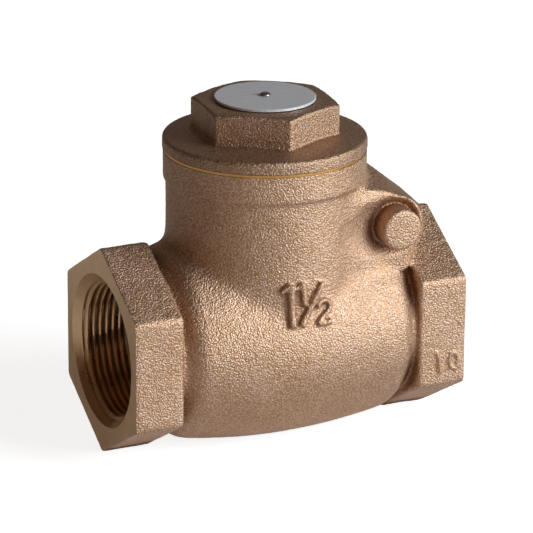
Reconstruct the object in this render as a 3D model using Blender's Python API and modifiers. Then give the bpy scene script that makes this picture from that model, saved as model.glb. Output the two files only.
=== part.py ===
"""Swing check valve of size 1 1/2, with screwed ends and a screwed cap.

X runs along the bore: the flow comes in at +X and leaves at -X. Z runs up the neck.
The origin is where the axis of the bore meets the axis of the neck. Units are metres.
"""
import math

import bmesh
import bpy
from mathutils import Matrix, Vector

MM = 0.001
COLLECTION = "swing_check_valve"
GAP = 0.3 * MM  # between two pieces that touch
CUT_OVERRUN = 5.0 * MM  # how far a cutter passes a face that it opens
BURIED = 3.0 * MM  # how deep a joined shape starts inside its neighbour

# Pipe threads
HALF_LENGTH = 60.0 * MM
THREAD_BORE_RADIUS = 22.9 * MM
THREAD_DEPTH = 20.0 * MM
MOUTH_CHAMFER = 3.2 * MM  # along the bore
MOUTH_FLARE = 3.1 * MM  # from the thread's bore out to the mouth's edge

# Hexagon ends
END_WALL = 5.3 * MM  # from the mouth to a slanted flat
END_SIDE_WALL = 4.25 * MM  # from the mouth to an upright flat
END_COLLAR = 16.8 * MM  # length of a hexagon along the bore
FACE_STOCK = 1.5 * MM  # turned off each cast end face

# Waterway
WATERWAY_STEP = 2.9 * MM  # from the thread's bore in to the waterway
CHAMBER_ROOM = 7.1 * MM  # from the disc's rim out to the chamber's wall
CHAMBER_OUTLET_WALL = 9.0 * MM  # from the outlet's thread to the chamber
CHAMBER_TAPER = 6.0 * MM

# Outside of the chamber
SHOULDER_WALL = 2.7 * MM  # round the chamber, at both ends of its crown
BARREL_CROWN = 3.0 * MM  # how much further the middle stands out
SHOULDER_SETBACK = 8.5 * MM  # from a hexagon to the end of the crown
BARREL_ROUNDING = 8.0 * MM
PORT_WALL = 5.1 * MM  # round the thread, between the crown and the hexagon

# Neck
NECK_FROM_SEAT = 30.9 * MM
NECK_WALL = 4.1 * MM
NECK_INSET = 1.3 * MM  # how much narrower its bore is than the chamber
NECK_RISE = 27.9 * MM  # over the barrel
NECK_COLLAR_STEP = 0.8 * MM
NECK_COLLAR_HEIGHT = 9.9 * MM
NECK_BAND_DEPTH = 0.4 * MM
NECK_BAND_HEIGHT = 0.9 * MM

# Hinge
HINGE_FROM_SEAT = 6.0 * MM
HINGE_RISE = 8.0 * MM  # over the chamber's wall
PIN_RADIUS = 3.0 * MM
PIN_PLAY = 0.3 * MM
STUB_WALL = 3.7 * MM
STUB_END_WALL = 3.5 * MM
STUB_STANDS_OUT = 6.0 * MM  # from the housing's side
STUB_CUP_RIM = 2.4 * MM  # from the foot of the dish out to the cup's edge
STUB_CUP_RISE = 0.7 * MM
STUB_DISH_WIDTH = 0.9 * MM  # from the stub to the foot of the dish
STUB_DISH_SHIFT = 0.7 * MM  # towards the neck
STUB_DISH_FLARE = 5.0 * MM
STUB_DISH_DEPTH = 2.3 * MM
POCKET_SIDE_ROOM = 1.0 * MM
POCKET_ROOM = 1.9 * MM

# Housing over the hinge: outlines in XZ, counted from the hinge's axis, on the middle
# plane and on both side planes
HOUSING_INSET = 9.0 * MM  # from the barrel's shoulder in to the housing's side
HOUSING_CORE_INSET = 0.8 * MM
HOUSING_WALL = 4.6 * MM
HOUSING_MIDDLE = (
    (-28.0 * MM, -20.3 * MM),
    (-28.0 * MM, 17.7 * MM),
    (-3.0 * MM, 17.4 * MM),
    (14.0 * MM, 3.9 * MM),
    (21.5 * MM, -2.8 * MM),
    (21.5 * MM, -10.3 * MM),
)
HOUSING_SIDE = (
    (-24.0 * MM, -16.3 * MM),
    (-24.0 * MM, 14.7 * MM),
    (-12.0 * MM, 14.2 * MM),
    (-1.0 * MM, 11.3 * MM),
    (6.0 * MM, 7.2 * MM),
    (9.0 * MM, -2.3 * MM),
    (6.0 * MM, -11.3 * MM),
    (5.0 * MM, -16.3 * MM),
)
CHEEK_RISE = 5.0 * MM  # from the housing's side out to the neck's, where the cheek starts
CHEEK_FOOT = -4.0 * MM  # where the cheek runs out, from the hinge's axis

# Far boss and its plug
FAR_BOSS_STANDS_OUT = 3.0 * MM  # from the housing's side
FAR_BOSS_RIM = 2.5 * MM  # round the plug's gasket
PLUG_OVER_PIN = 1.7 * MM  # so that the pin goes in through the plug's hole
PLUG_LENGTH = 9.0 * MM
PLUG_HEAD = 6.0 * MM
PLUG_HEAD_MARGIN = 2.0 * MM  # from the shank to a flat
PLUG_HEAD_ROUNDING = 0.5 * MM
PLUG_GASKET_WIDTH = 3.0 * MM
PLUG_GASKET_THICKNESS = 1.0 * MM

# Seat and disc; heights run from the seat into the chamber, along the stem
SEAT_WALL = 10.0 * MM  # from the inlet's thread to the seat
SEAT_TILT = math.radians(5.0)
SEAT_HEIGHT = 1.8 * MM
SEAT_LAND = 2.6 * MM
DISC_OVERLAP = 3.2 * MM  # how far the disc reaches past the bore of the seat
DISC_RIM = 4.4 * MM
DISC_CROWN = 1.8 * MM
DISC_HUB_MARGIN = 4.5 * MM  # round the stem
DISC_HUB_HEIGHT = 1.6 * MM
DISC_CHAMFER = 0.6 * MM
DISC_DISH = 1.0 * MM  # how deep the face inside the seat is turned back
STEM_RADIUS = 4.0 * MM
STEM_PLAY = 0.3 * MM
STEM_TAIL = 3.6 * MM
WASHER_MARGIN = 4.0 * MM  # round the stem
WASHER_THICKNESS = 1.4 * MM
NUT_WALL = 2.5 * MM  # from the stem to a flat
NUT_HEIGHT = 5.5 * MM
NUT_CHAMFER = math.radians(30.0)
SPLIT_PIN_WIRE = 0.7 * MM
SPLIT_PIN_LEG = 5.6 * MM
SPLIT_PIN_SPREAD = 0.7  # how far a leg is bent aside, as a share of its length
SPLIT_PIN_EYE = 1.6 * MM

# Arm
ARM_HUB_WALL = 2.8 * MM  # round the pin
ARM_HUB_HALF_WIDTH = 12.8 * MM
ARM_EYE_THICKNESS = 6.0 * MM
ARM_BAR_THICKNESS = 6.0 * MM
ARM_BAR_WIDTH = 13.0 * MM
ARM_BOW = 4.0 * MM  # how far the bar bows away from the disc
ARM_BOW_AT = 0.6  # where it does so, as a share of the hinge's height
ARM_SHOULDER = 2.0 * MM
ARM_DROP = 6.0 * MM  # how far the bar falls while it leaves the hub
SPOT_FACE_MARGIN = 1.0 * MM  # from the washer to the edge of the face that it lies on

# Cap
CAP_OVERHANG = 0.2 * MM  # over the neck's collar
CAP_FLANGE_HEIGHT = 4.4 * MM  # at its rim
CAP_FLANGE_RISE = 1.2 * MM  # from the rim to the hexagon
CAP_RIM_ROUNDING = 2.6 * MM
CAP_HEX_FLATS = 43.6 * MM
CAP_HEX_TURN = math.radians(25.3)
CAP_HEX_HEIGHT = 10.2 * MM
CAP_HEX_ROUNDING = 1.5 * MM
CAP_HEX_CHAMFER = 1.3 * MM
CAP_SKIRT_LENGTH = 10.0 * MM
CAP_SKIRT_WALL = 4.0 * MM
CAP_HEAD_WALL = 7.8 * MM  # from the hollow to a flat
CAP_CROWN = 6.5 * MM
GASKET_THICKNESS = 1.0 * MM
GASKET_WIDTH = 2.6 * MM

# Name plate
PLATE_MARGIN = 4.9 * MM  # from its edge to a flat of the hexagon
PLATE_THICKNESS = 0.8 * MM
PLATE_EDGE = 0.2 * MM
RIVET_RADIUS = 0.9 * MM
RIVET_LENGTH = 4.0 * MM
RIVET_HEAD_RADIUS = 1.8 * MM
RIVET_HEAD_HEIGHT = 0.9 * MM

# Cast surface
CORE_VOXEL = 1.5 * MM
CORE_BLEND_STEPS = 12
SKIN_VOXEL = 0.9 * MM
SKIN_BLEND_STEPS = 6
BODY_KEEP = 0.028  # share of the cast skin's triangles that the solid keeps

# Fineness of round shapes
FINE_STEPS = 64
MEDIUM_STEPS = 36
SMALL_STEPS = 20
ARC_STEPS = 5

BRONZE = ("cast_bronze", (0.47, 0.34, 0.26, 1.0), 0.5, 1.0)
MACHINED = ("machined_bronze", (0.56, 0.44, 0.26, 1.0), 0.3, 1.0)
BRASS = ("brass", (0.62, 0.47, 0.24, 1.0), 0.3, 1.0)
ALUMINIUM = ("aluminium", (0.62, 0.63, 0.64, 1.0), 0.35, 1.0)
STEEL = ("stainless_steel", (0.55, 0.55, 0.56, 1.0), 0.3, 1.0)
FIBRE = ("gasket_fibre", (0.12, 0.12, 0.12, 1.0), 0.8, 0.0)

# Worked out from the sizes above
MOUTH_RADIUS = THREAD_BORE_RADIUS + MOUTH_FLARE
END_FLATS = 2.0 * (MOUTH_RADIUS + END_WALL)
END_SIDE_FLATS = 2.0 * (MOUTH_RADIUS + END_SIDE_WALL)
WATERWAY_RADIUS = THREAD_BORE_RADIUS - WATERWAY_STEP
DISC_RADIUS = WATERWAY_RADIUS + DISC_OVERLAP
CHAMBER_RADIUS = DISC_RADIUS + CHAMBER_ROOM
CHAMBER_OUTLET_X = THREAD_DEPTH + CHAMBER_OUTLET_WALL - HALF_LENGTH
BARREL_SHOULDER_RADIUS = CHAMBER_RADIUS + SHOULDER_WALL
BARREL_RADIUS = BARREL_SHOULDER_RADIUS + BARREL_CROWN
BARREL_SHOULDER_X = HALF_LENGTH - END_COLLAR - SHOULDER_SETBACK
RECESS_RADIUS = THREAD_BORE_RADIUS + PORT_WALL
SEAT_X = HALF_LENGTH - THREAD_DEPTH - SEAT_WALL
NECK_X = SEAT_X - NECK_FROM_SEAT
NECK_BORE_RADIUS = CHAMBER_RADIUS - NECK_INSET
NECK_RADIUS = NECK_BORE_RADIUS + NECK_WALL
NECK_COLLAR_RADIUS = NECK_RADIUS + NECK_COLLAR_STEP
NECK_BAND_RADIUS = NECK_COLLAR_RADIUS - NECK_BAND_DEPTH
NECK_TOP_Z = BARREL_RADIUS + NECK_RISE
NECK_COLLAR_Z = NECK_TOP_Z - NECK_COLLAR_HEIGHT
HINGE_X = SEAT_X + HINGE_FROM_SEAT
HINGE_Z = CHAMBER_RADIUS + HINGE_RISE
PIN_HOLE_RADIUS = PIN_RADIUS + PIN_PLAY
ARM_HUB_RADIUS = PIN_RADIUS + ARM_HUB_WALL
POCKET_HALF_WIDTH = ARM_HUB_HALF_WIDTH + POCKET_SIDE_ROOM
POCKET_RADIUS = ARM_HUB_RADIUS + POCKET_ROOM
HOUSING_SIDE_Y = BARREL_SHOULDER_RADIUS - HOUSING_INSET
STUB_RADIUS = PIN_HOLE_RADIUS + STUB_WALL
STUB_FACE_Y = HOUSING_SIDE_Y + STUB_STANDS_OUT
STUB_DISH_RADIUS = STUB_RADIUS + STUB_DISH_WIDTH
STUB_DISH_FLOOR_Y = HOUSING_SIDE_Y - STUB_DISH_DEPTH
STUB_CUP_RADIUS = STUB_DISH_RADIUS + STUB_CUP_RIM
STUB_CUP_FACE_Y = HOUSING_SIDE_Y + STUB_CUP_RISE
PLUG_RADIUS = PIN_HOLE_RADIUS + PLUG_OVER_PIN
PLUG_FLATS = 2.0 * (PLUG_RADIUS + PLUG_HEAD_MARGIN)
PLUG_GASKET_RADIUS = PLUG_RADIUS + PLUG_GASKET_WIDTH
FAR_BOSS_RADIUS = PLUG_GASKET_RADIUS + FAR_BOSS_RIM
FAR_BOSS_FACE_Y = HOUSING_SIDE_Y + FAR_BOSS_STANDS_OUT
STEM_HOLE_RADIUS = STEM_RADIUS + STEM_PLAY
DISC_HUB_RADIUS = STEM_RADIUS + DISC_HUB_MARGIN
WASHER_RADIUS = STEM_RADIUS + WASHER_MARGIN
SPOT_FACE_RADIUS = WASHER_RADIUS + SPOT_FACE_MARGIN
NUT_FLATS = 2.0 * (STEM_RADIUS + NUT_WALL)
CAP_FLANGE_RADIUS = NECK_COLLAR_RADIUS + CAP_OVERHANG
CAP_HOLLOW_RADIUS = 0.5 * CAP_HEX_FLATS - CAP_HEAD_WALL
PLATE_RADIUS = 0.5 * CAP_HEX_FLATS - PLATE_MARGIN
SEAT_AXIS = Vector((-math.cos(SEAT_TILT), 0.0, math.sin(SEAT_TILT)))
SEAT_PLACE = Matrix.Translation((SEAT_X, 0.0, 0.0)) @ SEAT_AXIS.to_track_quat("Z", "Y").to_matrix().to_4x4()
ALONG_X = Matrix.Rotation(math.radians(90.0), 4, "Y")
ALONG_FAR = Matrix.Rotation(math.radians(-90.0), 4, "X")
UPRIGHT = Matrix.Rotation(math.radians(90.0), 4, "X")
NECK_PLACE = Matrix.Translation((NECK_X, 0.0, 0.0))
HINGE_PLACE = Matrix.Translation((HINGE_X, 0.0, HINGE_Z)) @ ALONG_FAR
NEAR_PLACE = HINGE_PLACE @ Matrix.Rotation(math.pi, 4, "X")
DISC_BACK = GAP + DISC_RIM + DISC_CROWN + DISC_HUB_HEIGHT
ARM_EYE_LOW = DISC_BACK + GAP
WASHER_LOW = ARM_EYE_LOW + ARM_EYE_THICKNESS + GAP
NUT_LOW = WASHER_LOW + WASHER_THICKNESS + GAP
STEM_END = NUT_LOW + NUT_HEIGHT + STEM_TAIL
SPLIT_PIN_AT = NUT_LOW + NUT_HEIGHT + 0.5 * STEM_TAIL
CAP_LOW_Z = NECK_TOP_Z + GAP
CAP_RIM_Z = CAP_LOW_Z + CAP_FLANGE_HEIGHT
CAP_HEX_Z = CAP_RIM_Z + CAP_FLANGE_RISE
CAP_TOP_Z = CAP_HEX_Z + CAP_HEX_HEIGHT
CAP_SKIRT_RADIUS = NECK_BORE_RADIUS - GAP
PLATE_LOW_Z = CAP_TOP_Z + GAP
RIVET_HEAD_Z = PLATE_LOW_Z + PLATE_THICKNESS + GAP
PLUG_SEAT_Y = FAR_BOSS_FACE_Y + GAP + PLUG_GASKET_THICKNESS + GAP
PIN_NEAR_Y = -(STUB_FACE_Y - STUB_END_WALL - GAP)
PLUG_INNER_Y = PLUG_SEAT_Y - PLUG_LENGTH
PIN_FAR_Y = PLUG_INNER_Y - GAP
GASKET_INNER_RADIUS = NECK_BORE_RADIUS + GAP


def clear_scene():
    """Takes away whatever the file opened with."""
    for old in list(bpy.data.objects):
        bpy.data.objects.remove(old, do_unlink=True)


def new_collection(name):
    collection = bpy.data.collections.new(name)
    bpy.context.scene.collection.children.link(collection)
    return collection


def new_material(name, colour, roughness, metallic):
    material = bpy.data.materials.new(name)
    material.use_nodes = True
    material.diffuse_color = colour
    shader = material.node_tree.nodes["Principled BSDF"]
    shader.inputs["Base Color"].default_value = colour
    shader.inputs["Roughness"].default_value = roughness
    shader.inputs["Metallic"].default_value = metallic
    return material


def object_from_bmesh(name, shape, collection, place=None):
    """Makes an object of a bmesh, moved to its place."""
    if place is not None:
        bmesh.ops.transform(shape, matrix=place, verts=shape.verts)
    bmesh.ops.recalc_face_normals(shape, faces=shape.faces)
    mesh = bpy.data.meshes.new(name)
    shape.to_mesh(mesh)
    shape.free()
    made = bpy.data.objects.new(name, mesh)
    collection.objects.link(made)
    return made


def baked(source):
    """Gives the object its evaluated mesh, with loose duplicates welded."""
    bpy.context.view_layer.update()
    graph = bpy.context.evaluated_depsgraph_get()
    mesh = bpy.data.meshes.new_from_object(source.evaluated_get(graph))
    shape = bmesh.new()
    shape.from_mesh(mesh)
    bmesh.ops.remove_doubles(shape, verts=shape.verts, dist=0.001 * MM)
    bmesh.ops.recalc_face_normals(shape, faces=shape.faces)
    shape.to_mesh(mesh)
    shape.free()
    old = source.data
    source.modifiers.clear()
    if source.type == "MESH":
        source.data = mesh
        bpy.data.meshes.remove(old)
        return source
    made = bpy.data.objects.new(source.name + "_mesh", mesh)
    made.matrix_world = source.matrix_world
    for collection in source.users_collection:
        collection.objects.link(made)
    name = source.name
    bpy.data.objects.remove(source, do_unlink=True)
    made.name = name
    return made


def turned(name, profile, collection, place=None, steps=FINE_STEPS):
    """A closed turned solid; the profile of (radius, height) runs from top to bottom."""
    shape = bmesh.new()
    points = [shape.verts.new((radius, 0.0, height)) for radius, height in profile]
    closed = profile[0][0] > 0.0
    for first, second in zip(points, points[1:]):
        shape.edges.new((first, second))
    if closed:
        shape.edges.new((points[-1], points[0]))
    mesh = bpy.data.meshes.new(name)
    shape.to_mesh(mesh)
    shape.free()
    made = bpy.data.objects.new(name, mesh)
    collection.objects.link(made)
    screw = made.modifiers.new("turn", "SCREW")
    screw.axis = "Z"
    screw.steps = steps
    screw.render_steps = steps
    screw.use_merge_vertices = True
    screw.merge_threshold = 0.01 * MM
    made = baked(made)
    if place is not None:
        made.data.transform(place)
    return made


def rod(name, radius, low, high, collection, place=None, steps=FINE_STEPS):
    """A plain cylinder between two heights."""
    return turned(name, [(0.0, high), (radius, high), (radius, low), (0.0, low)], collection, place, steps)


def tube(name, inner, outer, low, high, collection, place=None, steps=FINE_STEPS):
    """A plain ring between two heights."""
    profile = [(inner, high), (outer, high), (outer, low), (inner, low)]
    return turned(name, profile, collection, place, steps)


def prism(name, corners, low, high, collection, place=None):
    """An upright prism on a flat outline of (x, y) corners."""
    shape = bmesh.new()
    base = shape.faces.new([shape.verts.new((x, y, low)) for x, y in corners])
    grown = bmesh.ops.extrude_face_region(shape, geom=[base])
    tops = [item for item in grown["geom"] if isinstance(item, bmesh.types.BMVert)]
    bmesh.ops.translate(shape, vec=(0.0, 0.0, high - low), verts=tops)
    return object_from_bmesh(name, shape, collection, place)


def hexagon(flats, turn=0.0):
    """Corners of a regular hexagon, the first at the given turn."""
    radius = flats / math.sqrt(3.0)
    angles = [turn + step * math.pi / 3.0 for step in range(6)]
    return [(radius * math.cos(angle), radius * math.sin(angle)) for angle in angles]


def box(name, low, high, collection, place=None):
    """A box between two corners."""
    shape = bmesh.new()
    bmesh.ops.create_cube(shape, size=1.0)
    sizes = [b - a for a, b in zip(low, high)]
    middle = [0.5 * (a + b) for a, b in zip(low, high)]
    bmesh.ops.scale(shape, vec=sizes, verts=shape.verts)
    bmesh.ops.translate(shape, vec=middle, verts=shape.verts)
    return object_from_bmesh(name, shape, collection, place)


def arc(centre, radius, start, end, steps=ARC_STEPS):
    """Points on an arc of a profile; angles in degrees, 0 outwards and 90 up."""
    points = []
    for step in range(steps + 1):
        angle = math.radians(start + (end - start) * step / steps)
        points.append((centre[0] + radius * math.cos(angle), centre[1] + radius * math.sin(angle)))
    return points


def boolean(target, tool, operation):
    """Adds one Boolean step to the target's stack."""
    step = target.modifiers.new(tool.name, "BOOLEAN")
    step.operation = operation
    step.solver = "EXACT"
    step.object = tool


def cut(target, *tools):
    for tool in tools:
        boolean(target, tool, "DIFFERENCE")


def join(target, *tools):
    for tool in tools:
        boolean(target, tool, "UNION")


def keep_within(target, tool):
    boolean(target, tool, "INTERSECT")


def hide_tools(collection):
    """Shows the helper shapes as wires and keeps them out of the part."""
    for tool in collection.objects:
        tool.display_type = "WIRE"
        tool.hide_render = True


def finish(piece, material, smooth_angle=35.0):
    """Gives a piece its finish and smooth round faces."""
    piece.data.materials.clear()
    piece.data.materials.append(material)
    piece.data.shade_smooth()
    piece.data.set_sharp_from_angle(angle=math.radians(smooth_angle))


def pooled(target, *pieces):
    """Adds the pieces' shells to the target's mesh; the next skin makes them one."""
    shape = bmesh.new()
    for piece in (target, *pieces):
        shape.from_mesh(piece.data)
    shape.to_mesh(target.data)
    shape.free()


def skin(target, voxel):
    """Wraps the target in one even skin of small faces."""
    wrap = target.modifiers.new("skin", "REMESH")
    wrap.mode = "VOXEL"
    wrap.voxel_size = voxel
    wrap.use_smooth_shade = True


def blend(target, rounds):
    """Rounds edges and fills corners, as sand moulding leaves them."""
    smooth = target.modifiers.new("blend", "SMOOTH")
    smooth.factor = 0.5
    smooth.iterations = rounds


def end_hexagon(name, side, tools):
    """One cast hexagon end, left long at its outer face."""
    corners = hexagon(END_FLATS)
    inner = HALF_LENGTH - END_COLLAR
    outer = HALF_LENGTH + FACE_STOCK
    low, high = (inner, outer) if side > 0 else (-outer, -inner)
    made = prism(name, corners, low, high, tools, ALONG_X)
    reach = 0.5 * END_SIDE_FLATS
    tall = END_FLATS
    sides_low = (low - CUT_OVERRUN, -reach, -tall)
    sides = box(name + "_sides", sides_low, (high + CUT_OVERRUN, reach, tall), tools)
    keep_within(made, sides)
    return baked(made)


def barrel_profile():
    """Half outline of the chamber's outside, from the inlet recess to the outlet recess."""
    drop = BARREL_RADIUS - BARREL_SHOULDER_RADIUS
    crown = (BARREL_SHOULDER_X**2 + drop**2) / (2.0 * drop)
    lean = math.degrees(math.asin(BARREL_SHOULDER_X / crown))
    inwards = Vector((math.cos(math.radians(lean)), math.sin(math.radians(lean)))) * BARREL_ROUNDING
    shoulder = (BARREL_SHOULDER_RADIUS - inwards.x, BARREL_SHOULDER_X - inwards.y)
    rounded = [point for point in arc(shoulder, BARREL_ROUNDING, 90.0, lean) if point[0] > RECESS_RADIUS]
    crowned = arc((BARREL_RADIUS - crown, 0.0), crown, lean, 0.0)
    edge = rounded + crowned[1:] if rounded else crowned
    end_x = HALF_LENGTH - END_COLLAR + BURIED
    upper = [(0.0, end_x), (RECESS_RADIUS, end_x), (RECESS_RADIUS, edge[0][1])] + edge
    lower = [(radius, -height) for radius, height in reversed(upper[:-1])]
    return upper + lower


def housing_over_hinge(name, side_y, tools):
    """The shoulder between neck and inlet, lofted from its middle to both of its sides."""
    shape = bmesh.new()
    for x, z in HOUSING_MIDDLE:
        shape.verts.new((HINGE_X + x, 0.0, HINGE_Z + z))
    for side in (-side_y, side_y):
        for x, z in HOUSING_SIDE:
            shape.verts.new((HINGE_X + x, side, HINGE_Z + z))
    bmesh.ops.convex_hull(shape, input=shape.verts)
    return object_from_bmesh(name, shape, tools)


def cheeks_beside_neck(tools):
    """The slanted walls that lead from the neck's sides to the housing's sides."""
    low = HINGE_Z + min(z for _, z in HOUSING_SIDE)
    start_x, start_z = HOUSING_SIDE[1]
    foot_z = HOUSING_SIDE[3][1]
    shape = bmesh.new()
    for side in (-1.0, 1.0):
        for x, out, z in ((start_x, CHEEK_RISE, start_z), (CHEEK_FOOT, 0.0, foot_z)):
            y = side * (HOUSING_SIDE_Y + out)
            shape.verts.new((HINGE_X + x, y, HINGE_Z + z))
            shape.verts.new((HINGE_X + x, y, low))
    bmesh.ops.convex_hull(shape, input=shape.verts)
    return object_from_bmesh("cheeks", shape, tools)


def body_blank(parts, tools):
    """The casting as it leaves the sand, without its hollow."""
    blank = turned("body", barrel_profile(), parts, ALONG_X)
    neck_high = NECK_TOP_Z + FACE_STOCK
    pooled(
        blank,
        rod("neck", NECK_RADIUS, 0.0, neck_high, tools, NECK_PLACE),
        housing_over_hinge("housing_core", HOUSING_SIDE_Y - HOUSING_CORE_INSET, tools),
    )
    skin(blank, CORE_VOXEL)
    blend(blank, CORE_BLEND_STEPS)
    blank = baked(blank)

    far_high = FAR_BOSS_FACE_Y + FACE_STOCK
    pooled(
        blank,
        rod("neck_collar", NECK_COLLAR_RADIUS, NECK_COLLAR_Z, neck_high, tools, NECK_PLACE),
        housing_over_hinge("housing", HOUSING_SIDE_Y, tools),
        cheeks_beside_neck(tools),
        rod("stub_cup", STUB_CUP_RADIUS, 0.0, STUB_CUP_FACE_Y, tools, NEAR_PLACE, MEDIUM_STEPS),
        rod("far_boss", FAR_BOSS_RADIUS, 0.0, far_high, tools, HINGE_PLACE, MEDIUM_STEPS),
        end_hexagon("inlet_hexagon", 1, tools),
        end_hexagon("outlet_hexagon", -1, tools),
    )
    dish_profile = [
        (0.0, STUB_FACE_Y + CUT_OVERRUN),
        (STUB_DISH_RADIUS + STUB_DISH_FLARE, STUB_FACE_Y + CUT_OVERRUN),
        (STUB_DISH_RADIUS + STUB_DISH_FLARE, STUB_FACE_Y),
        (STUB_DISH_RADIUS, STUB_DISH_FLOOR_Y),
        (0.0, STUB_DISH_FLOOR_Y),
    ]
    skin(blank, SKIN_VOXEL)
    dish_place = Matrix.Translation((-STUB_DISH_SHIFT, 0.0, 0.0)) @ NEAR_PLACE
    cut(blank, turned("stub_dish", dish_profile, tools, dish_place, MEDIUM_STEPS))
    blank = baked(blank)
    stub_low = STUB_DISH_FLOOR_Y - BURIED
    pooled(blank, rod("stub", STUB_RADIUS, stub_low, STUB_FACE_Y, tools, NEAR_PLACE, MEDIUM_STEPS))
    skin(blank, SKIN_VOXEL)
    blend(blank, SKIN_BLEND_STEPS)
    return baked(blank)


def thin_out(target, keep):
    """Leaves the casting's skin with fewer, larger faces."""
    fewer = target.modifiers.new("fewer_faces", "DECIMATE")
    fewer.decimate_type = "COLLAPSE"
    fewer.ratio = keep
    fewer.use_collapse_triangulate = True
    return baked(target)


def port_cutter(name, side, inner_x, tools):
    """Bore, thread bore and mouth chamfer of one end, cut from its face inwards."""
    outside = HALF_LENGTH + CUT_OVERRUN
    profile = [
        (0.0, outside),
        (MOUTH_RADIUS, outside),
        (MOUTH_RADIUS, HALF_LENGTH),
        (THREAD_BORE_RADIUS, HALF_LENGTH - MOUTH_CHAMFER),
        (THREAD_BORE_RADIUS, HALF_LENGTH - THREAD_DEPTH),
        (WATERWAY_RADIUS, HALF_LENGTH - THREAD_DEPTH - WATERWAY_STEP),
        (WATERWAY_RADIUS, inner_x),
        (0.0, inner_x),
    ]
    place = ALONG_X if side > 0 else Matrix.Rotation(math.radians(-90.0), 4, "Y")
    return turned(name, profile, tools, place)


def chamber_cutter(tools):
    """The hollow round the disc, ended by the slanted wall that carries the seat."""
    far_x = SEAT_X + CUT_OVERRUN
    profile = [
        (0.0, far_x),
        (CHAMBER_RADIUS, far_x),
        (CHAMBER_RADIUS, CHAMBER_OUTLET_X + CHAMBER_TAPER),
        (WATERWAY_RADIUS - MM, CHAMBER_OUTLET_X - CHAMBER_TAPER),
        (0.0, CHAMBER_OUTLET_X - CHAMBER_TAPER),
    ]
    chamber = turned("chamber", profile, tools, ALONG_X)
    wide = 2.0 * CHAMBER_RADIUS
    cut(chamber, rod("seat_wall", wide, -CHAMBER_RADIUS, -SEAT_HEIGHT, tools, SEAT_PLACE, SMALL_STEPS))
    return baked(chamber)


def hinge_pocket(tools):
    """The hollow over the seat in which the arm turns, under a sloping roof of even wall."""
    half = POCKET_HALF_WIDTH
    pocket = rod("hinge_pocket", POCKET_RADIUS, -half, half, tools, HINGE_PLACE, MEDIUM_STEPS)
    hub = Vector((HINGE_X, HINGE_Z))
    ridge = hub + Vector(HOUSING_MIDDLE[2])
    slope_end = hub + Vector(HOUSING_MIDDLE[3])
    along = (slope_end - ridge).normalized()
    inwards = Vector((along.y, -along.x))
    roof = ridge + inwards * HOUSING_WALL
    touch = hub - inwards * POCKET_RADIUS
    low_z = CHAMBER_RADIUS - 2.0 * BURIED
    wall_x = SEAT_X + SEAT_HEIGHT + math.tan(SEAT_TILT) * low_z
    outline = [
        (0.0, low_z),
        (wall_x, low_z),
        (hub.x, hub.y - POCKET_RADIUS),
        (hub.x, hub.y),
        (touch.x, touch.y),
        (roof.x, roof.y),
        (0.0, roof.y),
    ]
    join(pocket, prism("pocket_mouth", outline, -half, half, tools, UPRIGHT))
    return baked(pocket)


def neck_cutter(tools):
    """Bore of the neck, open at the top and running down into the chamber."""
    profile = [
        (0.0, NECK_TOP_Z + CUT_OVERRUN),
        (NECK_BORE_RADIUS, NECK_TOP_Z + CUT_OVERRUN),
        (NECK_BORE_RADIUS, 0.0),
        (0.0, 0.0),
    ]
    return turned("neck_bore", profile, tools, NECK_PLACE)


def make_body(parts, tools):
    """The cast and machined body."""
    body = thin_out(body_blank(parts, tools), BODY_KEEP)
    reach = 2.0 * HALF_LENGTH
    for name, side in (("inlet_facing", 1), ("outlet_facing", -1)):
        low, high = sorted((side * HALF_LENGTH, side * reach))
        cut(body, box(name, (low, -reach, -reach), (high, reach, reach), tools))
    cut(body, box("neck_facing", (-reach, -reach, NECK_TOP_Z), (reach, reach, reach), tools))
    band_low = NECK_TOP_Z - NECK_BAND_HEIGHT
    band_outer = NECK_COLLAR_RADIUS + CUT_OVERRUN
    band_high = NECK_TOP_Z + CUT_OVERRUN
    cut(body, tube("neck_band", NECK_BAND_RADIUS, band_outer, band_low, band_high, tools, NECK_PLACE))
    wide = 2.0 * FAR_BOSS_RADIUS
    facing_far = FAR_BOSS_FACE_Y + 2.0 * CUT_OVERRUN
    cut(body, rod("far_facing", wide, FAR_BOSS_FACE_Y, facing_far, tools, HINGE_PLACE, MEDIUM_STEPS))
    cut(body, chamber_cutter(tools), neck_cutter(tools), hinge_pocket(tools))
    seat_radius = WATERWAY_RADIUS + SEAT_LAND
    seat = rod("seat", seat_radius, -SEAT_HEIGHT - BURIED, 0.0, tools, SEAT_PLACE)
    join(body, seat)
    cut(body, port_cutter("inlet_port", 1, SEAT_X - CUT_OVERRUN, tools))
    cut(body, port_cutter("outlet_port", -1, -CHAMBER_OUTLET_X, tools))
    near_end = -(STUB_FACE_Y - STUB_END_WALL)
    far_end = FAR_BOSS_FACE_Y + CUT_OVERRUN
    plug_hole = PLUG_RADIUS + GAP
    plug_low = PLUG_INNER_Y - GAP
    pin_high = plug_low + BURIED
    cut(body, rod("pin_hole", PIN_HOLE_RADIUS, near_end, pin_high, tools, HINGE_PLACE, SMALL_STEPS))
    cut(body, rod("plug_hole", plug_hole, plug_low, far_end, tools, HINGE_PLACE, MEDIUM_STEPS))
    return baked(body)


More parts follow.
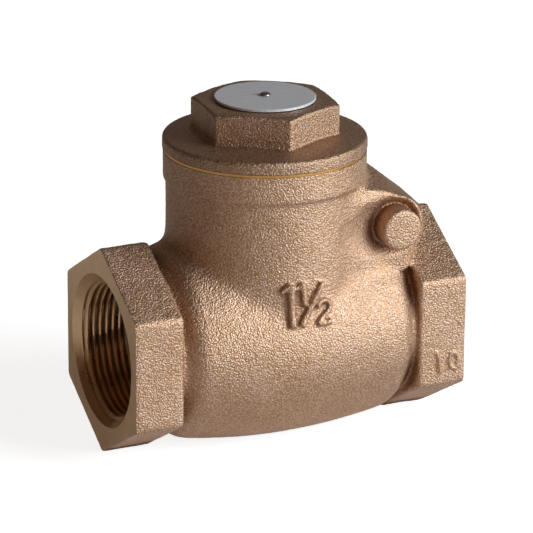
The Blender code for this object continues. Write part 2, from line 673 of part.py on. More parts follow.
def make_cap(parts, tools):
    """The screwed cap: hexagon head, flange and hollow threaded skirt in one casting."""
    rounding = (CAP_FLANGE_RADIUS - CAP_RIM_ROUNDING, CAP_RIM_Z - CAP_RIM_ROUNDING)
    recess_z = CAP_LOW_Z + GASKET_THICKNESS + GAP
    recess_radius = GASKET_INNER_RADIUS + GASKET_WIDTH + GAP
    skirt_low = CAP_LOW_Z - CAP_SKIRT_LENGTH
    hollow_radius = CAP_SKIRT_RADIUS - CAP_SKIRT_WALL
    profile = [(0.0, CAP_HEX_Z), (0.5 * CAP_HEX_FLATS, CAP_HEX_Z)]
    profile += arc(rounding, CAP_RIM_ROUNDING, 90.0, 0.0)
    profile += [
        (CAP_FLANGE_RADIUS, CAP_LOW_Z),
        (recess_radius, CAP_LOW_Z),
        (recess_radius, recess_z),
        (CAP_SKIRT_RADIUS, recess_z),
        (CAP_SKIRT_RADIUS, skirt_low),
        (0.0, skirt_low),
    ]
    cap = turned("cap", profile, parts, NECK_PLACE)
    outline = hexagon(CAP_HEX_FLATS, CAP_HEX_TURN)
    head = prism("cap_hexagon", outline, CAP_LOW_Z + BURIED, CAP_TOP_Z, tools, NECK_PLACE)
    edges = head.modifiers.new("edges", "BEVEL")
    edges.width = CAP_HEX_ROUNDING
    edges.segments = 3
    edges.limit_method = "ANGLE"
    head = baked(head)
    flat_radius = 0.5 * CAP_HEX_FLATS
    corner_radius = CAP_HEX_FLATS / math.sqrt(3.0)
    crown_profile = [
        (0.0, CAP_TOP_Z + GAP),
        (flat_radius - CAP_HEX_ROUNDING, CAP_TOP_Z + GAP),
        (corner_radius, CAP_TOP_Z - CAP_HEX_CHAMFER),
        (corner_radius + BURIED, CAP_TOP_Z - 2.0 * CAP_HEX_CHAMFER),
        (corner_radius + BURIED, CAP_LOW_Z),
        (0.0, CAP_LOW_Z),
    ]
    keep_within(head, turned("cap_crown", crown_profile, tools, NECK_PLACE))
    join(cap, baked(head))
    hollow_profile = [
        (0.0, CAP_TOP_Z - CAP_CROWN),
        (CAP_HOLLOW_RADIUS, CAP_TOP_Z - CAP_CROWN),
        (hollow_radius, CAP_LOW_Z),
        (hollow_radius, skirt_low - CUT_OVERRUN),
        (0.0, skirt_low - CUT_OVERRUN),
    ]
    cut(cap, turned("cap_hollow", hollow_profile, tools, NECK_PLACE))
    low = RIVET_HEAD_Z - RIVET_LENGTH - GAP
    high = CAP_TOP_Z + CUT_OVERRUN
    cut(cap, rod("cap_rivet_hole", RIVET_RADIUS + GAP, low, high, tools, NECK_PLACE, SMALL_STEPS))
    return baked(cap)


def make_gasket(parts):
    """The flat ring that seals the cap on the neck."""
    outer = GASKET_INNER_RADIUS + GASKET_WIDTH
    low = NECK_TOP_Z + GAP
    return tube("cap_gasket", GASKET_INNER_RADIUS, outer, low, low + GASKET_THICKNESS, parts, NECK_PLACE)


def make_plate(parts):
    """The round plate on the cap."""
    high = PLATE_LOW_Z + PLATE_THICKNESS
    profile = [
        (RIVET_RADIUS + GAP, high),
        (PLATE_RADIUS - PLATE_EDGE, high),
        (PLATE_RADIUS, high - PLATE_EDGE),
        (PLATE_RADIUS, PLATE_LOW_Z),
        (RIVET_RADIUS + GAP, PLATE_LOW_Z),
    ]
    return turned("name_plate", profile, parts, NECK_PLACE)


def make_rivet(parts):
    """The drive rivet that holds the plate."""
    low = RIVET_HEAD_Z - RIVET_LENGTH
    dome = []
    for across, up in arc((0.0, 0.0), 1.0, 90.0, 0.0):
        dome.append((RIVET_HEAD_RADIUS * across, RIVET_HEAD_Z + RIVET_HEAD_HEIGHT * up))
    dome[0] = (0.0, dome[0][1])
    profile = dome + [(RIVET_RADIUS, RIVET_HEAD_Z), (RIVET_RADIUS, low), (0.0, low)]
    return turned("name_plate_rivet", profile, parts, NECK_PLACE, SMALL_STEPS)


def make_pin(parts):
    """The straight pin that the arm swings on."""
    return rod("hinge_pin", PIN_RADIUS, PIN_NEAR_Y, PIN_FAR_Y, parts, HINGE_PLACE, SMALL_STEPS)


def make_plug(parts, tools):
    """The hexagon plug in the far boss, behind the pin."""
    shank_high = PLUG_SEAT_Y + BURIED
    head_high = PLUG_SEAT_Y + PLUG_HEAD
    plug = rod("hinge_pin_plug", PLUG_RADIUS, PLUG_INNER_Y, shank_high, parts, HINGE_PLACE, MEDIUM_STEPS)
    head = prism("plug_hexagon", hexagon(PLUG_FLATS), PLUG_SEAT_Y, head_high, tools, HINGE_PLACE)
    edges = head.modifiers.new("edges", "BEVEL")
    edges.width = PLUG_HEAD_ROUNDING
    edges.segments = 2
    edges.limit_method = "ANGLE"
    join(plug, baked(head))
    return baked(plug)


def make_plug_gasket(parts):
    """The ring under the head of the plug."""
    inner = PLUG_RADIUS + GAP
    low = FAR_BOSS_FACE_Y + GAP
    high = low + PLUG_GASKET_THICKNESS
    return tube("plug_gasket", inner, PLUG_GASKET_RADIUS, low, high, parts, HINGE_PLACE, MEDIUM_STEPS)


def bar_outline(path, thickness, steps=12):
    """Outline of a bar of even thickness round a cubic Bezier path in one plane."""
    a, b, c, d = [Vector(point) for point in path]
    left, right = [], []
    for step in range(steps + 1):
        t = step / steps
        s = 1.0 - t
        point = a * s**3 + b * (3.0 * s * s * t) + c * (3.0 * s * t * t) + d * t**3
        slope = (b - a) * (3.0 * s * s) + (c - b) * (6.0 * s * t) + (d - c) * (3.0 * t * t)
        side = Vector((-slope.y, slope.x)).normalized() * (0.5 * thickness)
        left.append(point + side)
        right.append(point - side)
    return [tuple(point) for point in left + right[::-1]]


def make_arm(parts, tools):
    """The arm: a broad hub on the pin, a bowed bar and the eye for the disc's stem."""
    hub_half = ARM_HUB_HALF_WIDTH
    eye_high = ARM_EYE_LOW + ARM_EYE_THICKNESS
    arm = rod("disc_arm", ARM_HUB_RADIUS, -hub_half, hub_half, parts, HINGE_PLACE, MEDIUM_STEPS)
    eye = rod("arm_eye", SPOT_FACE_RADIUS, ARM_EYE_LOW, eye_high, tools, SEAT_PLACE, MEDIUM_STEPS)
    centre = SEAT_PLACE @ Vector((0.0, 0.0, ARM_EYE_LOW + 0.5 * ARM_EYE_THICKNESS))
    start = (HINGE_X, HINGE_Z)
    end = (centre.x, centre.z)
    shoulder = (end[0] + ARM_SHOULDER, HINGE_Z - ARM_DROP)
    path = [start, shoulder, (end[0] - ARM_BOW, ARM_BOW_AT * HINGE_Z), end]
    outline = bar_outline(path, ARM_BAR_THICKNESS)
    half = 0.5 * ARM_BAR_WIDTH
    bar = prism("arm_bar", outline, -half, half, tools, UPRIGHT)
    join(arm, eye, bar)
    cut(arm, rod("washer_face", SPOT_FACE_RADIUS, eye_high, STEM_END, tools, SEAT_PLACE, MEDIUM_STEPS))
    cut(arm, rod("disc_face", DISC_RADIUS, 0.0, ARM_EYE_LOW, tools, SEAT_PLACE, MEDIUM_STEPS))
    wide = 2.0 * hub_half
    cut(arm, rod("arm_pin_hole", PIN_HOLE_RADIUS, -wide, wide, tools, HINGE_PLACE, SMALL_STEPS))
    cut(arm, rod("arm_stem_hole", STEM_HOLE_RADIUS, 0.0, STEM_END, tools, SEAT_PLACE, MEDIUM_STEPS))
    return baked(arm)


def make_disc(parts, tools):
    """The disc with its stem, turned in one."""
    rim_high = GAP + DISC_RIM
    crown_high = rim_high + DISC_CROWN
    tip = DISC_CHAMFER
    profile = [
        (0.0, STEM_END),
        (STEM_RADIUS - tip, STEM_END),
        (STEM_RADIUS, STEM_END - tip),
        (STEM_RADIUS, DISC_BACK),
        (DISC_HUB_RADIUS - tip, DISC_BACK),
        (DISC_HUB_RADIUS, DISC_BACK - tip),
        (DISC_HUB_RADIUS, crown_high),
        (DISC_RADIUS - tip, rim_high),
        (DISC_RADIUS, rim_high - tip),
        (DISC_RADIUS, GAP),
        (WATERWAY_RADIUS - DISC_DISH, GAP),
        (WATERWAY_RADIUS - 2.0 * DISC_DISH, GAP + DISC_DISH),
        (0.0, GAP + DISC_DISH),
    ]
    disc = turned("disc", profile, parts, SEAT_PLACE)
    across = SEAT_PLACE @ Matrix.Translation((0.0, 0.0, SPLIT_PIN_AT)) @ ALONG_X
    hole = SPLIT_PIN_WIRE + GAP
    wide = 2.0 * STEM_RADIUS
    cut(disc, rod("split_pin_hole", hole, -wide, wide, tools, across, SMALL_STEPS))
    return baked(disc)


def make_washer(parts):
    low = WASHER_LOW
    high = low + WASHER_THICKNESS
    return tube("disc_washer", STEM_HOLE_RADIUS, WASHER_RADIUS, low, high, parts, SEAT_PLACE, MEDIUM_STEPS)


def make_nut(parts, tools):
    """The hexagon nut behind the washer."""
    nut = prism("disc_nut", hexagon(NUT_FLATS), NUT_LOW, NUT_LOW + NUT_HEIGHT, parts, SEAT_PLACE)
    corner = NUT_FLATS / math.sqrt(3.0)
    flat = 0.5 * NUT_FLATS
    top = NUT_LOW + NUT_HEIGHT
    slope = math.tan(NUT_CHAMFER)
    wide = corner + BURIED
    crown_profile = [
        (0.0, top + slope * BURIED),
        (flat - BURIED, top + slope * BURIED),
        (wide, top - slope * (wide - flat)),
        (wide, NUT_LOW - CUT_OVERRUN),
        (0.0, NUT_LOW - CUT_OVERRUN),
    ]
    keep_within(nut, turned("nut_crown", crown_profile, tools, SEAT_PLACE, MEDIUM_STEPS))
    low = NUT_LOW - CUT_OVERRUN
    high = STEM_END + CUT_OVERRUN
    cut(nut, rod("nut_bore", STEM_RADIUS + GAP, low, high, tools, SEAT_PLACE, MEDIUM_STEPS))
    return baked(nut)


def make_split_pin(parts):
    """The split pin behind the nut: a bent wire with an eye and two spread legs."""
    reach = STEM_RADIUS + GAP
    leg_end = (-reach - 0.5 * SPLIT_PIN_LEG, -SPLIT_PIN_SPREAD * SPLIT_PIN_LEG, 0.0)
    route = [leg_end, (-reach - SPLIT_PIN_WIRE, 0.0, 0.0), (reach, 0.0, 0.0)]
    for step in range(7):
        angle = math.radians(-150.0 + 50.0 * step)
        eye_x = reach + SPLIT_PIN_EYE * (1.0 + math.cos(angle))
        route.append((eye_x, SPLIT_PIN_EYE * math.sin(angle), 0.0))
    curve = bpy.data.curves.new("disc_split_pin", "CURVE")
    curve.dimensions = "3D"
    curve.bevel_depth = SPLIT_PIN_WIRE
    curve.bevel_resolution = 1
    curve.use_fill_caps = True
    spline = curve.splines.new("POLY")
    spline.points.add(len(route) - 1)
    for point, place in zip(spline.points, route):
        point.co = (*place, 1.0)
    made = bpy.data.objects.new("disc_split_pin", curve)
    parts.objects.link(made)
    made.matrix_world = SEAT_PLACE @ Matrix.Translation((0.0, 0.0, SPLIT_PIN_AT))
    return baked(made)


def build():
    clear_scene()
    parts = new_collection(COLLECTION)
    tools = new_collection("cutters")
    bronze = new_material(*BRONZE)
    machined = new_material(*MACHINED)
    brass = new_material(*BRASS)
    aluminium = new_material(*ALUMINIUM)
    steel = new_material(*STEEL)
    fibre = new_material(*FIBRE)
    finish(make_body(parts, tools), bronze)
    finish(make_cap(parts, tools), bronze)
    finish(make_gasket(parts), fibre)
    finish(make_plate(parts), aluminium)
    finish(make_rivet(parts), aluminium)
    finish(make_pin(parts), steel)
    finish(make_plug(parts, tools), brass)
    finish(make_plug_gasket(parts), fibre)
    finish(make_arm(parts, tools), bronze)
    finish(make_disc(parts, tools), machined)
    finish(make_washer(parts), brass)
    finish(make_nut(parts, tools), brass)
    finish(make_split_pin(parts), steel)
    hide_tools(tools)


build()
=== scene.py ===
"""Looks of the swing check valve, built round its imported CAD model. Units are metres.

The castings are built again with a fine sand-cast skin, and then machined: end faces,
taper pipe threads, bores and seats. The other pieces are the CAD model's own.
"""
import math

import bmesh
import bpy
from mathutils import Matrix, Vector, noise
from mathutils.bvhtree import BVHTree


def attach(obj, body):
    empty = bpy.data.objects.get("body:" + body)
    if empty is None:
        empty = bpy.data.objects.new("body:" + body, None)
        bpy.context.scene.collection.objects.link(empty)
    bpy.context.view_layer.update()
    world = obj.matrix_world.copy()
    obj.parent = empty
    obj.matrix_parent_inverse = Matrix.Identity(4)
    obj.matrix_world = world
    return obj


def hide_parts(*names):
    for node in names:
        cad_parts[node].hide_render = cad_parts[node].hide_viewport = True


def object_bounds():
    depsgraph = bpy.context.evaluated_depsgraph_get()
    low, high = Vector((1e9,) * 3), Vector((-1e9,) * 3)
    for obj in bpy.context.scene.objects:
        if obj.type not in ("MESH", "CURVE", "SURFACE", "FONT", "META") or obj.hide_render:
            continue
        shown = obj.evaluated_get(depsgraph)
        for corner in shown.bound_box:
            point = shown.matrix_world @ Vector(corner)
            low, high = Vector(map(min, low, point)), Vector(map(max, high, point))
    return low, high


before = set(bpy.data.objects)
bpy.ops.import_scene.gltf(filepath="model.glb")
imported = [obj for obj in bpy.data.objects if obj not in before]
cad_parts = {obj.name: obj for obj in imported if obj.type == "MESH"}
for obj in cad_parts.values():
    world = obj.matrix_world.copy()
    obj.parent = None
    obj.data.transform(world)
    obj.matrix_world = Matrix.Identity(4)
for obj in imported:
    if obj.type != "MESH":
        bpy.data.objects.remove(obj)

MM = 0.001
CAD_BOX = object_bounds()

# Sizes that the CAD model has too
GAP = 0.3 * MM  # between pieces that screw together
CUT_OVERRUN = 5.0 * MM  # how far a cutting tool reaches past the casting
BURIED = 3.0 * MM  # how far a joined form reaches into its neighbour
HALF_LENGTH = 60.0 * MM
END_FLATS = 62.6 * MM
END_SIDE_FLATS = 60.5 * MM
END_COLLAR = 16.8 * MM
FACE_STOCK = 1.5 * MM  # cast on a face, and cut off when it is machined
THREAD_DEPTH = 20.0 * MM
MOUTH_RADIUS = 26.0 * MM
MOUTH_CHAMFER = 3.2 * MM
WATERWAY_RADIUS = 20.0 * MM
CHAMBER_RADIUS = 30.3 * MM
CHAMBER_OUTLET_X = -31.0 * MM
CHAMBER_TAPER = 6.0 * MM
BARREL_RADIUS = 36.0 * MM
BARREL_SHOULDER_RADIUS = 33.0 * MM
BARREL_SHOULDER_X = 34.7 * MM
BARREL_ROUNDING = 8.0 * MM
RECESS_RADIUS = 28.0 * MM
NECK_X = -0.9 * MM
NECK_RADIUS = 33.1 * MM
NECK_COLLAR_RADIUS = 33.9 * MM
NECK_COLLAR_Z = 54.0 * MM
NECK_TOP_Z = 63.9 * MM
NECK_BORE_RADIUS = 29.0 * MM
NECK_BAND_HEIGHT = 0.9 * MM
HINGE_X = 36.0 * MM
HINGE_Z = 38.3 * MM
PIN_HOLE_RADIUS = 3.3 * MM
STUB_RADIUS = 7.0 * MM
STUB_FACE_Y = 30.0 * MM
STUB_CUP_RADIUS = 10.3 * MM
STUB_CUP_FACE_Y = 24.7 * MM
STUB_END_WALL = 3.5 * MM
POCKET_HALF_WIDTH = 13.8 * MM
POCKET_RADIUS = 7.7 * MM
HOUSING_SIDE_Y = 24.0 * MM
HOUSING_CORE_INSET = 0.8 * MM
HOUSING_WALL = 4.6 * MM
# Outlines (x, z) of the housing over the hinge, in mm from the hinge: its middle and its sides
HOUSING_MIDDLE = (
    (-28.0, -20.3), (-28.0, 17.7), (-3.0, 17.4), (14.0, 3.9), (21.5, -2.8), (21.5, -10.3),
)
HOUSING_SIDE = (
    (-24.0, -16.3), (-24.0, 14.7), (-12.0, 14.2), (-1.0, 11.3),
    (6.0, 7.2), (9.0, -2.3), (6.0, -11.3), (5.0, -16.3),
)
CHEEK_RISE = 5.0 * MM
CHEEK_FOOT = -4.0 * MM
FAR_BOSS_RADIUS = 10.5 * MM
FAR_BOSS_FACE_Y = 27.0 * MM
PLUG_HOLE_RADIUS = 5.3 * MM
PLUG_HOLE_LOW = 19.3 * MM
SEAT_X = 30.0 * MM
SEAT_TILT = math.radians(5.0)
SEAT_HEIGHT = 1.8 * MM
SEAT_LAND = 2.6 * MM
CAP_LOW_Z = 64.2 * MM
CAP_FLANGE_RADIUS = 34.1 * MM
CAP_HEX_Z = 69.8 * MM
CAP_TOP_Z = 80.0 * MM
CAP_HEX_FLATS = 43.6 * MM
CAP_HEX_TURN = math.radians(25.3)
CAP_SKIRT_RADIUS = 28.7 * MM
CAP_SKIRT_LENGTH = 10.0 * MM
CAP_SKIRT_WALL = 4.0 * MM
CAP_HOLLOW_RADIUS = 14.0 * MM
CAP_CROWN = 6.5 * MM
CAP_RECESS_RADIUS = 32.2 * MM
CAP_RECESS_DEPTH = 1.3 * MM
RIVET_HOLE_RADIUS = 1.2 * MM
RIVET_HOLE_LOW = 77.1 * MM

# Sizes of the scene's own, where its castings are finer than the CAD model
OVERLAP = 1.0 * MM
END_STOCK = 0.8 * MM
END_INNER_STOCK = 0.4 * MM
END_EDGE_ROUNDING = 0.8 * MM
END_EDGE_STEPS = 4
END_EDGE_ANGLE = math.radians(30.0)  # edges sharper than this are rounded
NECK_BAND_RADIUS = 33.7 * MM
HOUSING_LIFT = 0.6 * MM  # how much the roof over the hinge stands above the CAD model's
STUB_DISH_FLOOR = (21.6 * MM, 6.9 * MM, 0.5 * MM)  # how far out, its radius, its shift to -X
STUB_DISH_RIM = (24.2 * MM, 10.7 * MM, 1.8 * MM)
CAP_RIM_Z = 68.2 * MM
CAP_RIM_ROUNDING = 1.2 * MM
CAP_HEX_CHAMFER = 0.7 * MM
CAP_CROWN_INSET = 1.5 * MM

# How many corners stand for a full circle
ROUND = 128
CORE_ROUND = 96
PLUG_HOLE_ROUND = 48
PIN_HOLE_ROUND = 32
RIVET_HOLE_ROUND = 24
ARC_STEPS = 12  # along one arc of a profile

# The taper pipe thread in both ends
PITCH = 2.309 * MM
THREAD_MINOR_RADIUS = 22.4 * MM
THREAD_HEIGHT = 1.48 * MM
THREAD_TAPER = 1.0 / 32.0
THREAD_RINGS = 10  # per turn
THREAD_RUN_IN = 2.5 * MM  # from the waterway up to the first turn
SHARP_TOOTH = 1.25  # a sharp tooth's height, as a share of the real one's
TOOTH_CUT = 0.125  # what its crest and its root each lose

# Raised numbers: the lines of each, as a radius and points (x, z) on the near side, in mm
MARK_STEPS = 6  # between two points
MARK_ROUNDNESS = 3
MARK_RAY_Y = -0.1  # where the rays that lay a line on the casting start
MARK_WELD = 0.001 * MM
MARK_LIFT = 0.6  # how far a line's middle stands out, as a share of its radius
MARKS = (
    ("one_flag", 1.0, ((-9.5, 23.6), (-8.1, 24.9), (-6.4, 26.2))),
    ("one_stem", 1.3, ((-6.4, 26.2), (-6.0, 18.5), (-6.1, 11.5))),
    ("half_one_flag", 0.8, ((-4.7, 24.4), (-3.5, 25.3), (-2.3, 26.2))),
    ("half_one_stem", 1.05, ((-2.3, 26.2), (-2.0, 23.3), (-1.5, 18.6))),
    ("slash", 1.15, ((4.9, 25.6), (1.0, 18.6), (-3.0, 11.7))),
    (
        "half_two",
        0.85,
        (
            (3.3, 17.1), (3.9, 18.6), (5.7, 19.2), (7.4, 18.3), (8.0, 16.6),
            (6.8, 15.1), (4.7, 13.4), (3.0, 11.9),
        ),
    ),
    ("half_two_foot", 0.9, ((3.0, 11.9), (5.5, 11.7), (7.9, 12.0))),
    ("ten_one", 0.5, ((49.2, -7.9), (49.8, -7.2), (50.7, -14.0))),
    (
        "ten_nought",
        0.45,
        (
            (57.5, -10.7), (57.1, -12.6), (55.9, -13.3), (54.7, -12.2), (54.2, -10.2),
            (54.6, -8.3), (55.8, -7.6), (57.0, -8.6), (57.5, -10.7),
        ),
    ),
)

# Cast skin: the size of its faces, the rounds that soften it, and what it is thinned to
CORE_VOXEL = 1.5 * MM
CORE_BLEND = 16
SOFTNESS = 0.5  # how far one round moves a point to its neighbours' middle
SKIN_VOXEL = 0.4 * MM
SKIN_BLEND = 30
MARK_BLEND = 2
CAP_VOXEL = 0.4 * MM
CAP_BLEND = 10
BODY_FACES = 170000
CAP_FACES = 60000

# Unevenness of the cast skin; the hexagons' slopes, past PEEL_X and PEEL_Z, are rougher
WAVE_HEIGHT = 0.10 * MM
CAP_WAVE_HEIGHT = 0.5 * WAVE_HEIGHT
WAVE_LENGTH = 9.0 * MM
GRAIN_HEIGHT = 0.07 * MM
GRAIN_LENGTH = 1.3 * MM
GRAIN_FINER = 2.1
PEEL_HEIGHT = 0.12 * MM
PEEL_LENGTH = 1.9 * MM
PEEL_X = 44.5 * MM
PEEL_Z = 16.5 * MM

# Finishes of a casting's faces, numbered as its material slots, and how near a face has to be
CAST = 0
TURNED = 1
BAND = 2
FACE_SLACK = 0.02 * MM
MOUTH_SLACK = 0.01 * MM
BAND_SLACK = 0.05 * MM
BORE_SLACK = 0.1 * MM
END_FACING = 0.99  # the least that an end face's normal runs along X
PORT_MARGIN = 3.0 * MM
SEAT_MARGIN = 6.0 * MM
SHARP_ANGLE = math.radians(38.0)  # edges sharper than this are shaded sharp

# Materials
BRONZE_DARK = (0.655, 0.44, 0.30)
BRONZE_LIGHT = (0.735, 0.52, 0.38)
BRONZE_STAIN = (0.60, 0.41, 0.18)
# Grain colour, partly painted light: pits darker and browner as painted shade, peaks paler as
# painted glints
PIT_SHADE_TINT = (0.82, 0.71, 0.58)
PEAK_GLINT_TINT = (1.18, 1.28, 1.42)
# Painted shade: the tint that corners and hollows of the castings are darkened to
HOLLOW_SHADE_TINT = (0.4, 0.3, 0.22)
CAP_TONE = 0.8  # the cap is a casting of its own; its bronze is the body's, darkened evenly to this share
TURNED_BRONZE = (1.0, 0.66, 0.37)
BAND_BRONZE = (0.95, 0.50, 0.16)
BRASS = (0.72, 0.52, 0.24)
STEEL = (0.60, 0.59, 0.57)
RIVET_METAL = (0.42, 0.39, 0.35)
PLATE_DARK = (0.70, 0.70, 0.71)
PLATE_LIGHT = (0.92, 0.92, 0.93)
FIBRE_DARK = (0.05, 0.05, 0.05)
FIBRE_LIGHT = (0.14, 0.13, 0.12)
PEBBLE_SIZE = 0.62 * MM
PEBBLE_SOFTNESS = 0.4
PEBBLE_SHARE = 0.8  # of the relief's depth; the fine grain has as much
FINE_SIZE = 0.5 * MM
PATCH_SIZE = 16.0 * MM
STAIN_SIZE = 9.0 * MM
BRONZE_RELIEF = 0.28 * MM
CORNER_REACH = 5.0 * MM  # how wide a hollow is that gets painted shade
# how wide a groove is that gets painted shade
GROOVE_REACH = 1.6 * MM
HOLLOW_SAMPLES = 8
TURNED_SHADE = 0.82  # the darker patches, as a share of the colour
METAL_SHADE = 0.8
TURNED_PATCH_SIZE = 6.0 * MM
TURNED_MARK_SIZE = 0.22 * MM
TURNED_RELIEF = 0.04 * MM
METAL_PATCH_SIZE = 4.0 * MM
METAL_MARK_SIZE = 0.2 * MM
STEEL_MARK_SIZE = 0.1 * MM
METAL_RELIEF = 0.03 * MM
FLECK_SIZE = 0.5 * MM
FLECK_RELIEF = 0.05 * MM
PLATE_LINE_SIZE = 8.0 * MM
PLATE_RELIEF = 0.02 * MM
PLATE_STRETCH = 40.0
PLATE_TURN = math.radians(20.0)

# Floor, room, lamps and camera; a lamp is its name, azimuth, elevation, distance, size,
# strength in watts and colour
FLOOR_REACH = 6.0
FLOOR_GAP = 0.1 * MM
FLOOR_COLOUR = (0.66, 0.66, 0.66)
FLOOR_GLOW_SEEN = 0.84
FLOOR_GLOW_MIRRORED = 0.1
ROOM_COLOUR = (0.050, 0.031, 0.019, 1.0)
ROOM_SEEN = (1.0, 1.0, 1.0, 1.0)
LAMPS = (
    ("key", 42.0, 22.5, 2.0, 1.5, 45.0, (0.90, 0.99, 1.08)),
    ("fill", -40.0, 12.0, 2.0, 1.5, 2.0, (1.0, 0.60, 0.30)),
    ("back", 165.0, 32.0, 2.0, 1.6, 1.2, (0.95, 1.0, 1.05)),
)
LAMP_TARGET = (0.0, 0.0, 0.02)
CAMERA_AZIMUTH = -24.73
CAMERA_ELEVATION = 19.20
CAMERA_ROLL = math.radians(0.37)
CAMERA_DISTANCE = 1.1416
CAMERA_TARGET = (0.00002, 0.0, 0.02117)
CAMERA_LENS = 229.58
CAMERA_SENSOR = 36.0

# Places for the forms, which are made round or along their own upright axis
ALONG_X = Matrix.Rotation(math.radians(90.0), 4, "Y")
ALONG_BACK_X = Matrix.Rotation(math.radians(-90.0), 4, "Y")
ALONG_FAR = Matrix.Rotation(math.radians(-90.0), 4, "X")
UPRIGHT = Matrix.Rotation(math.radians(90.0), 4, "X")
NECK_PLACE = Matrix.Translation((NECK_X, 0.0, 0.0))
HINGE_PLACE = Matrix.Translation((HINGE_X, 0.0, HINGE_Z)) @ ALONG_FAR
NEAR_PLACE = HINGE_PLACE @ Matrix.Rotation(math.pi, 4, "X")
SEAT_AXIS = Vector((-math.cos(SEAT_TILT), 0.0, math.sin(SEAT_TILT)))
SEAT_TURN = SEAT_AXIS.to_track_quat("Z", "Y").to_matrix().to_4x4()
SEAT_PLACE = Matrix.Translation((SEAT_X, 0.0, 0.0)) @ SEAT_TURN

helpers = []


def helper(name, shape, place=None):
    """An object made of a bmesh; it is thrown away once the castings are done."""
    if place is not None:
        bmesh.ops.transform(shape, matrix=place, verts=shape.verts)
    bmesh.ops.recalc_face_normals(shape, faces=shape.faces)
    mesh = bpy.data.meshes.new(name)
    shape.to_mesh(mesh)
    shape.free()
    made = bpy.data.objects.new(name, mesh)
    bpy.context.scene.collection.objects.link(made)
    helpers.append(made)
    return made


def ringed(name, rings, place=None, ring_closed=False):
    """A closed solid through rings of points; a ring of one point closes an end."""
    shape = bmesh.new()
    grid = [[shape.verts.new(point) for point in ring] for ring in rings]
    pairs = list(zip(grid, grid[1:]))
    if ring_closed:
        pairs.append((grid[-1], grid[0]))
    for upper, lower in pairs:
        count = max(len(upper), len(lower))
        for step in range(count):
            after = (step + 1) % count
            corners = [
                upper[step % len(upper)],
                upper[after % len(upper)],
                lower[after % len(lower)],
                lower[step % len(lower)],
            ]
            shape.faces.new(list(dict.fromkeys(corners)))
    return helper(name, shape, place)


def round_angles(steps=ROUND):
    return [2.0 * math.pi * step / steps for step in range(steps)]


def turned(name, profile, place=None, steps=ROUND):
    """A turned solid; the profile of (radius, height) runs from top to bottom."""
    rings = []
    for radius, height in profile:
        if radius == 0.0:
            rings.append([(0.0, 0.0, height)])
            continue
        ring = [(radius * math.cos(a), radius * math.sin(a), height) for a in round_angles(steps)]
        rings.append(ring)
    return ringed(name, rings, place, profile[0][0] > 0.0)


def rod(name, radius, low, high, place=None, steps=ROUND):
    return turned(name, [(0.0, high), (radius, high), (radius, low), (0.0, low)], place, steps)


def prism(name, corners, low, high, place=None):
    """An upright block with these corners (x, y)."""
    shape = bmesh.new()
    base = shape.faces.new([shape.verts.new((x, y, low)) for x, y in corners])
    grown = bmesh.ops.extrude_face_region(shape, geom=[base])
    tops = [item for item in grown["geom"] if isinstance(item, bmesh.types.BMVert)]
    bmesh.ops.translate(shape, vec=(0.0, 0.0, high - low), verts=tops)
    return helper(name, shape, place)


def hexagon(flats, turn=0.0):
    """Corners of a hexagon with this width across its flats."""
    radius = flats / math.sqrt(3.0)
    angles = [turn + step * math.pi / 3.0 for step in range(6)]
    return [(radius * math.cos(angle), radius * math.sin(angle)) for angle in angles]


def box(name, low, high):
    shape = bmesh.new()
    bmesh.ops.create_cube(shape, size=1.0)
    bmesh.ops.scale(shape, vec=[b - a for a, b in zip(low, high)], verts=shape.verts)
    middle = [0.5 * (a + b) for a, b in zip(low, high)]
    bmesh.ops.translate(shape, vec=middle, verts=shape.verts)
    return helper(name, shape)


def arc(centre, radius, start, end):
    """Points of an arc from one angle to another, in degrees."""
    points = []
    for step in range(ARC_STEPS + 1):
        angle = math.radians(start + (end - start) * step / ARC_STEPS)
        across = centre[0] + radius * math.cos(angle)
        points.append((across, centre[1] + radius * math.sin(angle)))
    return points


def baked(piece):
    """Gives the piece its evaluated mesh and drops its modifiers."""
    bpy.context.view_layer.update()
    graph = bpy.context.evaluated_depsgraph_get()
    mesh = bpy.data.meshes.new_from_object(piece.evaluated_get(graph))
    old = piece.data
    piece.modifiers.clear()
    piece.data = mesh
    bpy.data.meshes.remove(old)
    return piece


def solid_step(piece, operation, tools):
    for tool in tools:
        step = piece.modifiers.new(tool.name, "BOOLEAN")
        step.operation = operation
        step.solver = "MANIFOLD"
        step.object = tool
    return baked(piece)


def cut(piece, *tools):
    return solid_step(piece, "DIFFERENCE", tools)


def join(piece, *tools):
    return solid_step(piece, "UNION", tools)


def keep_within(piece, *tools):
    return solid_step(piece, "INTERSECT", tools)


def pooled(piece, *others):
    """Adds the others' shells to the piece's mesh; the next skin makes them one."""
    shape = bmesh.new()
    for other in (piece, *others):
        shape.from_mesh(other.data)
    shape.to_mesh(piece.data)
    shape.free()
    return piece


def skinned(piece, voxel, rounds):
    """Wraps the piece in one skin of small faces and softens it, as sand moulding does."""
    wrap = piece.modifiers.new("skin", "REMESH")
    wrap.mode = "VOXEL"
    wrap.voxel_size = voxel
    if rounds:
        soft = piece.modifiers.new("soft", "SMOOTH")
        soft.factor = SOFTNESS
        soft.iterations = rounds
    return baked(piece)


def thinned(piece, faces):
    """Brings the skin down to about that many triangles, most of them where it curves."""
    count = 2 * len(piece.data.polygons)
    if count > faces:
        fewer = piece.modifiers.new("fewer", "DECIMATE")
        fewer.ratio = faces / count
        fewer.use_collapse_triangulate = True
        baked(piece)
    return piece


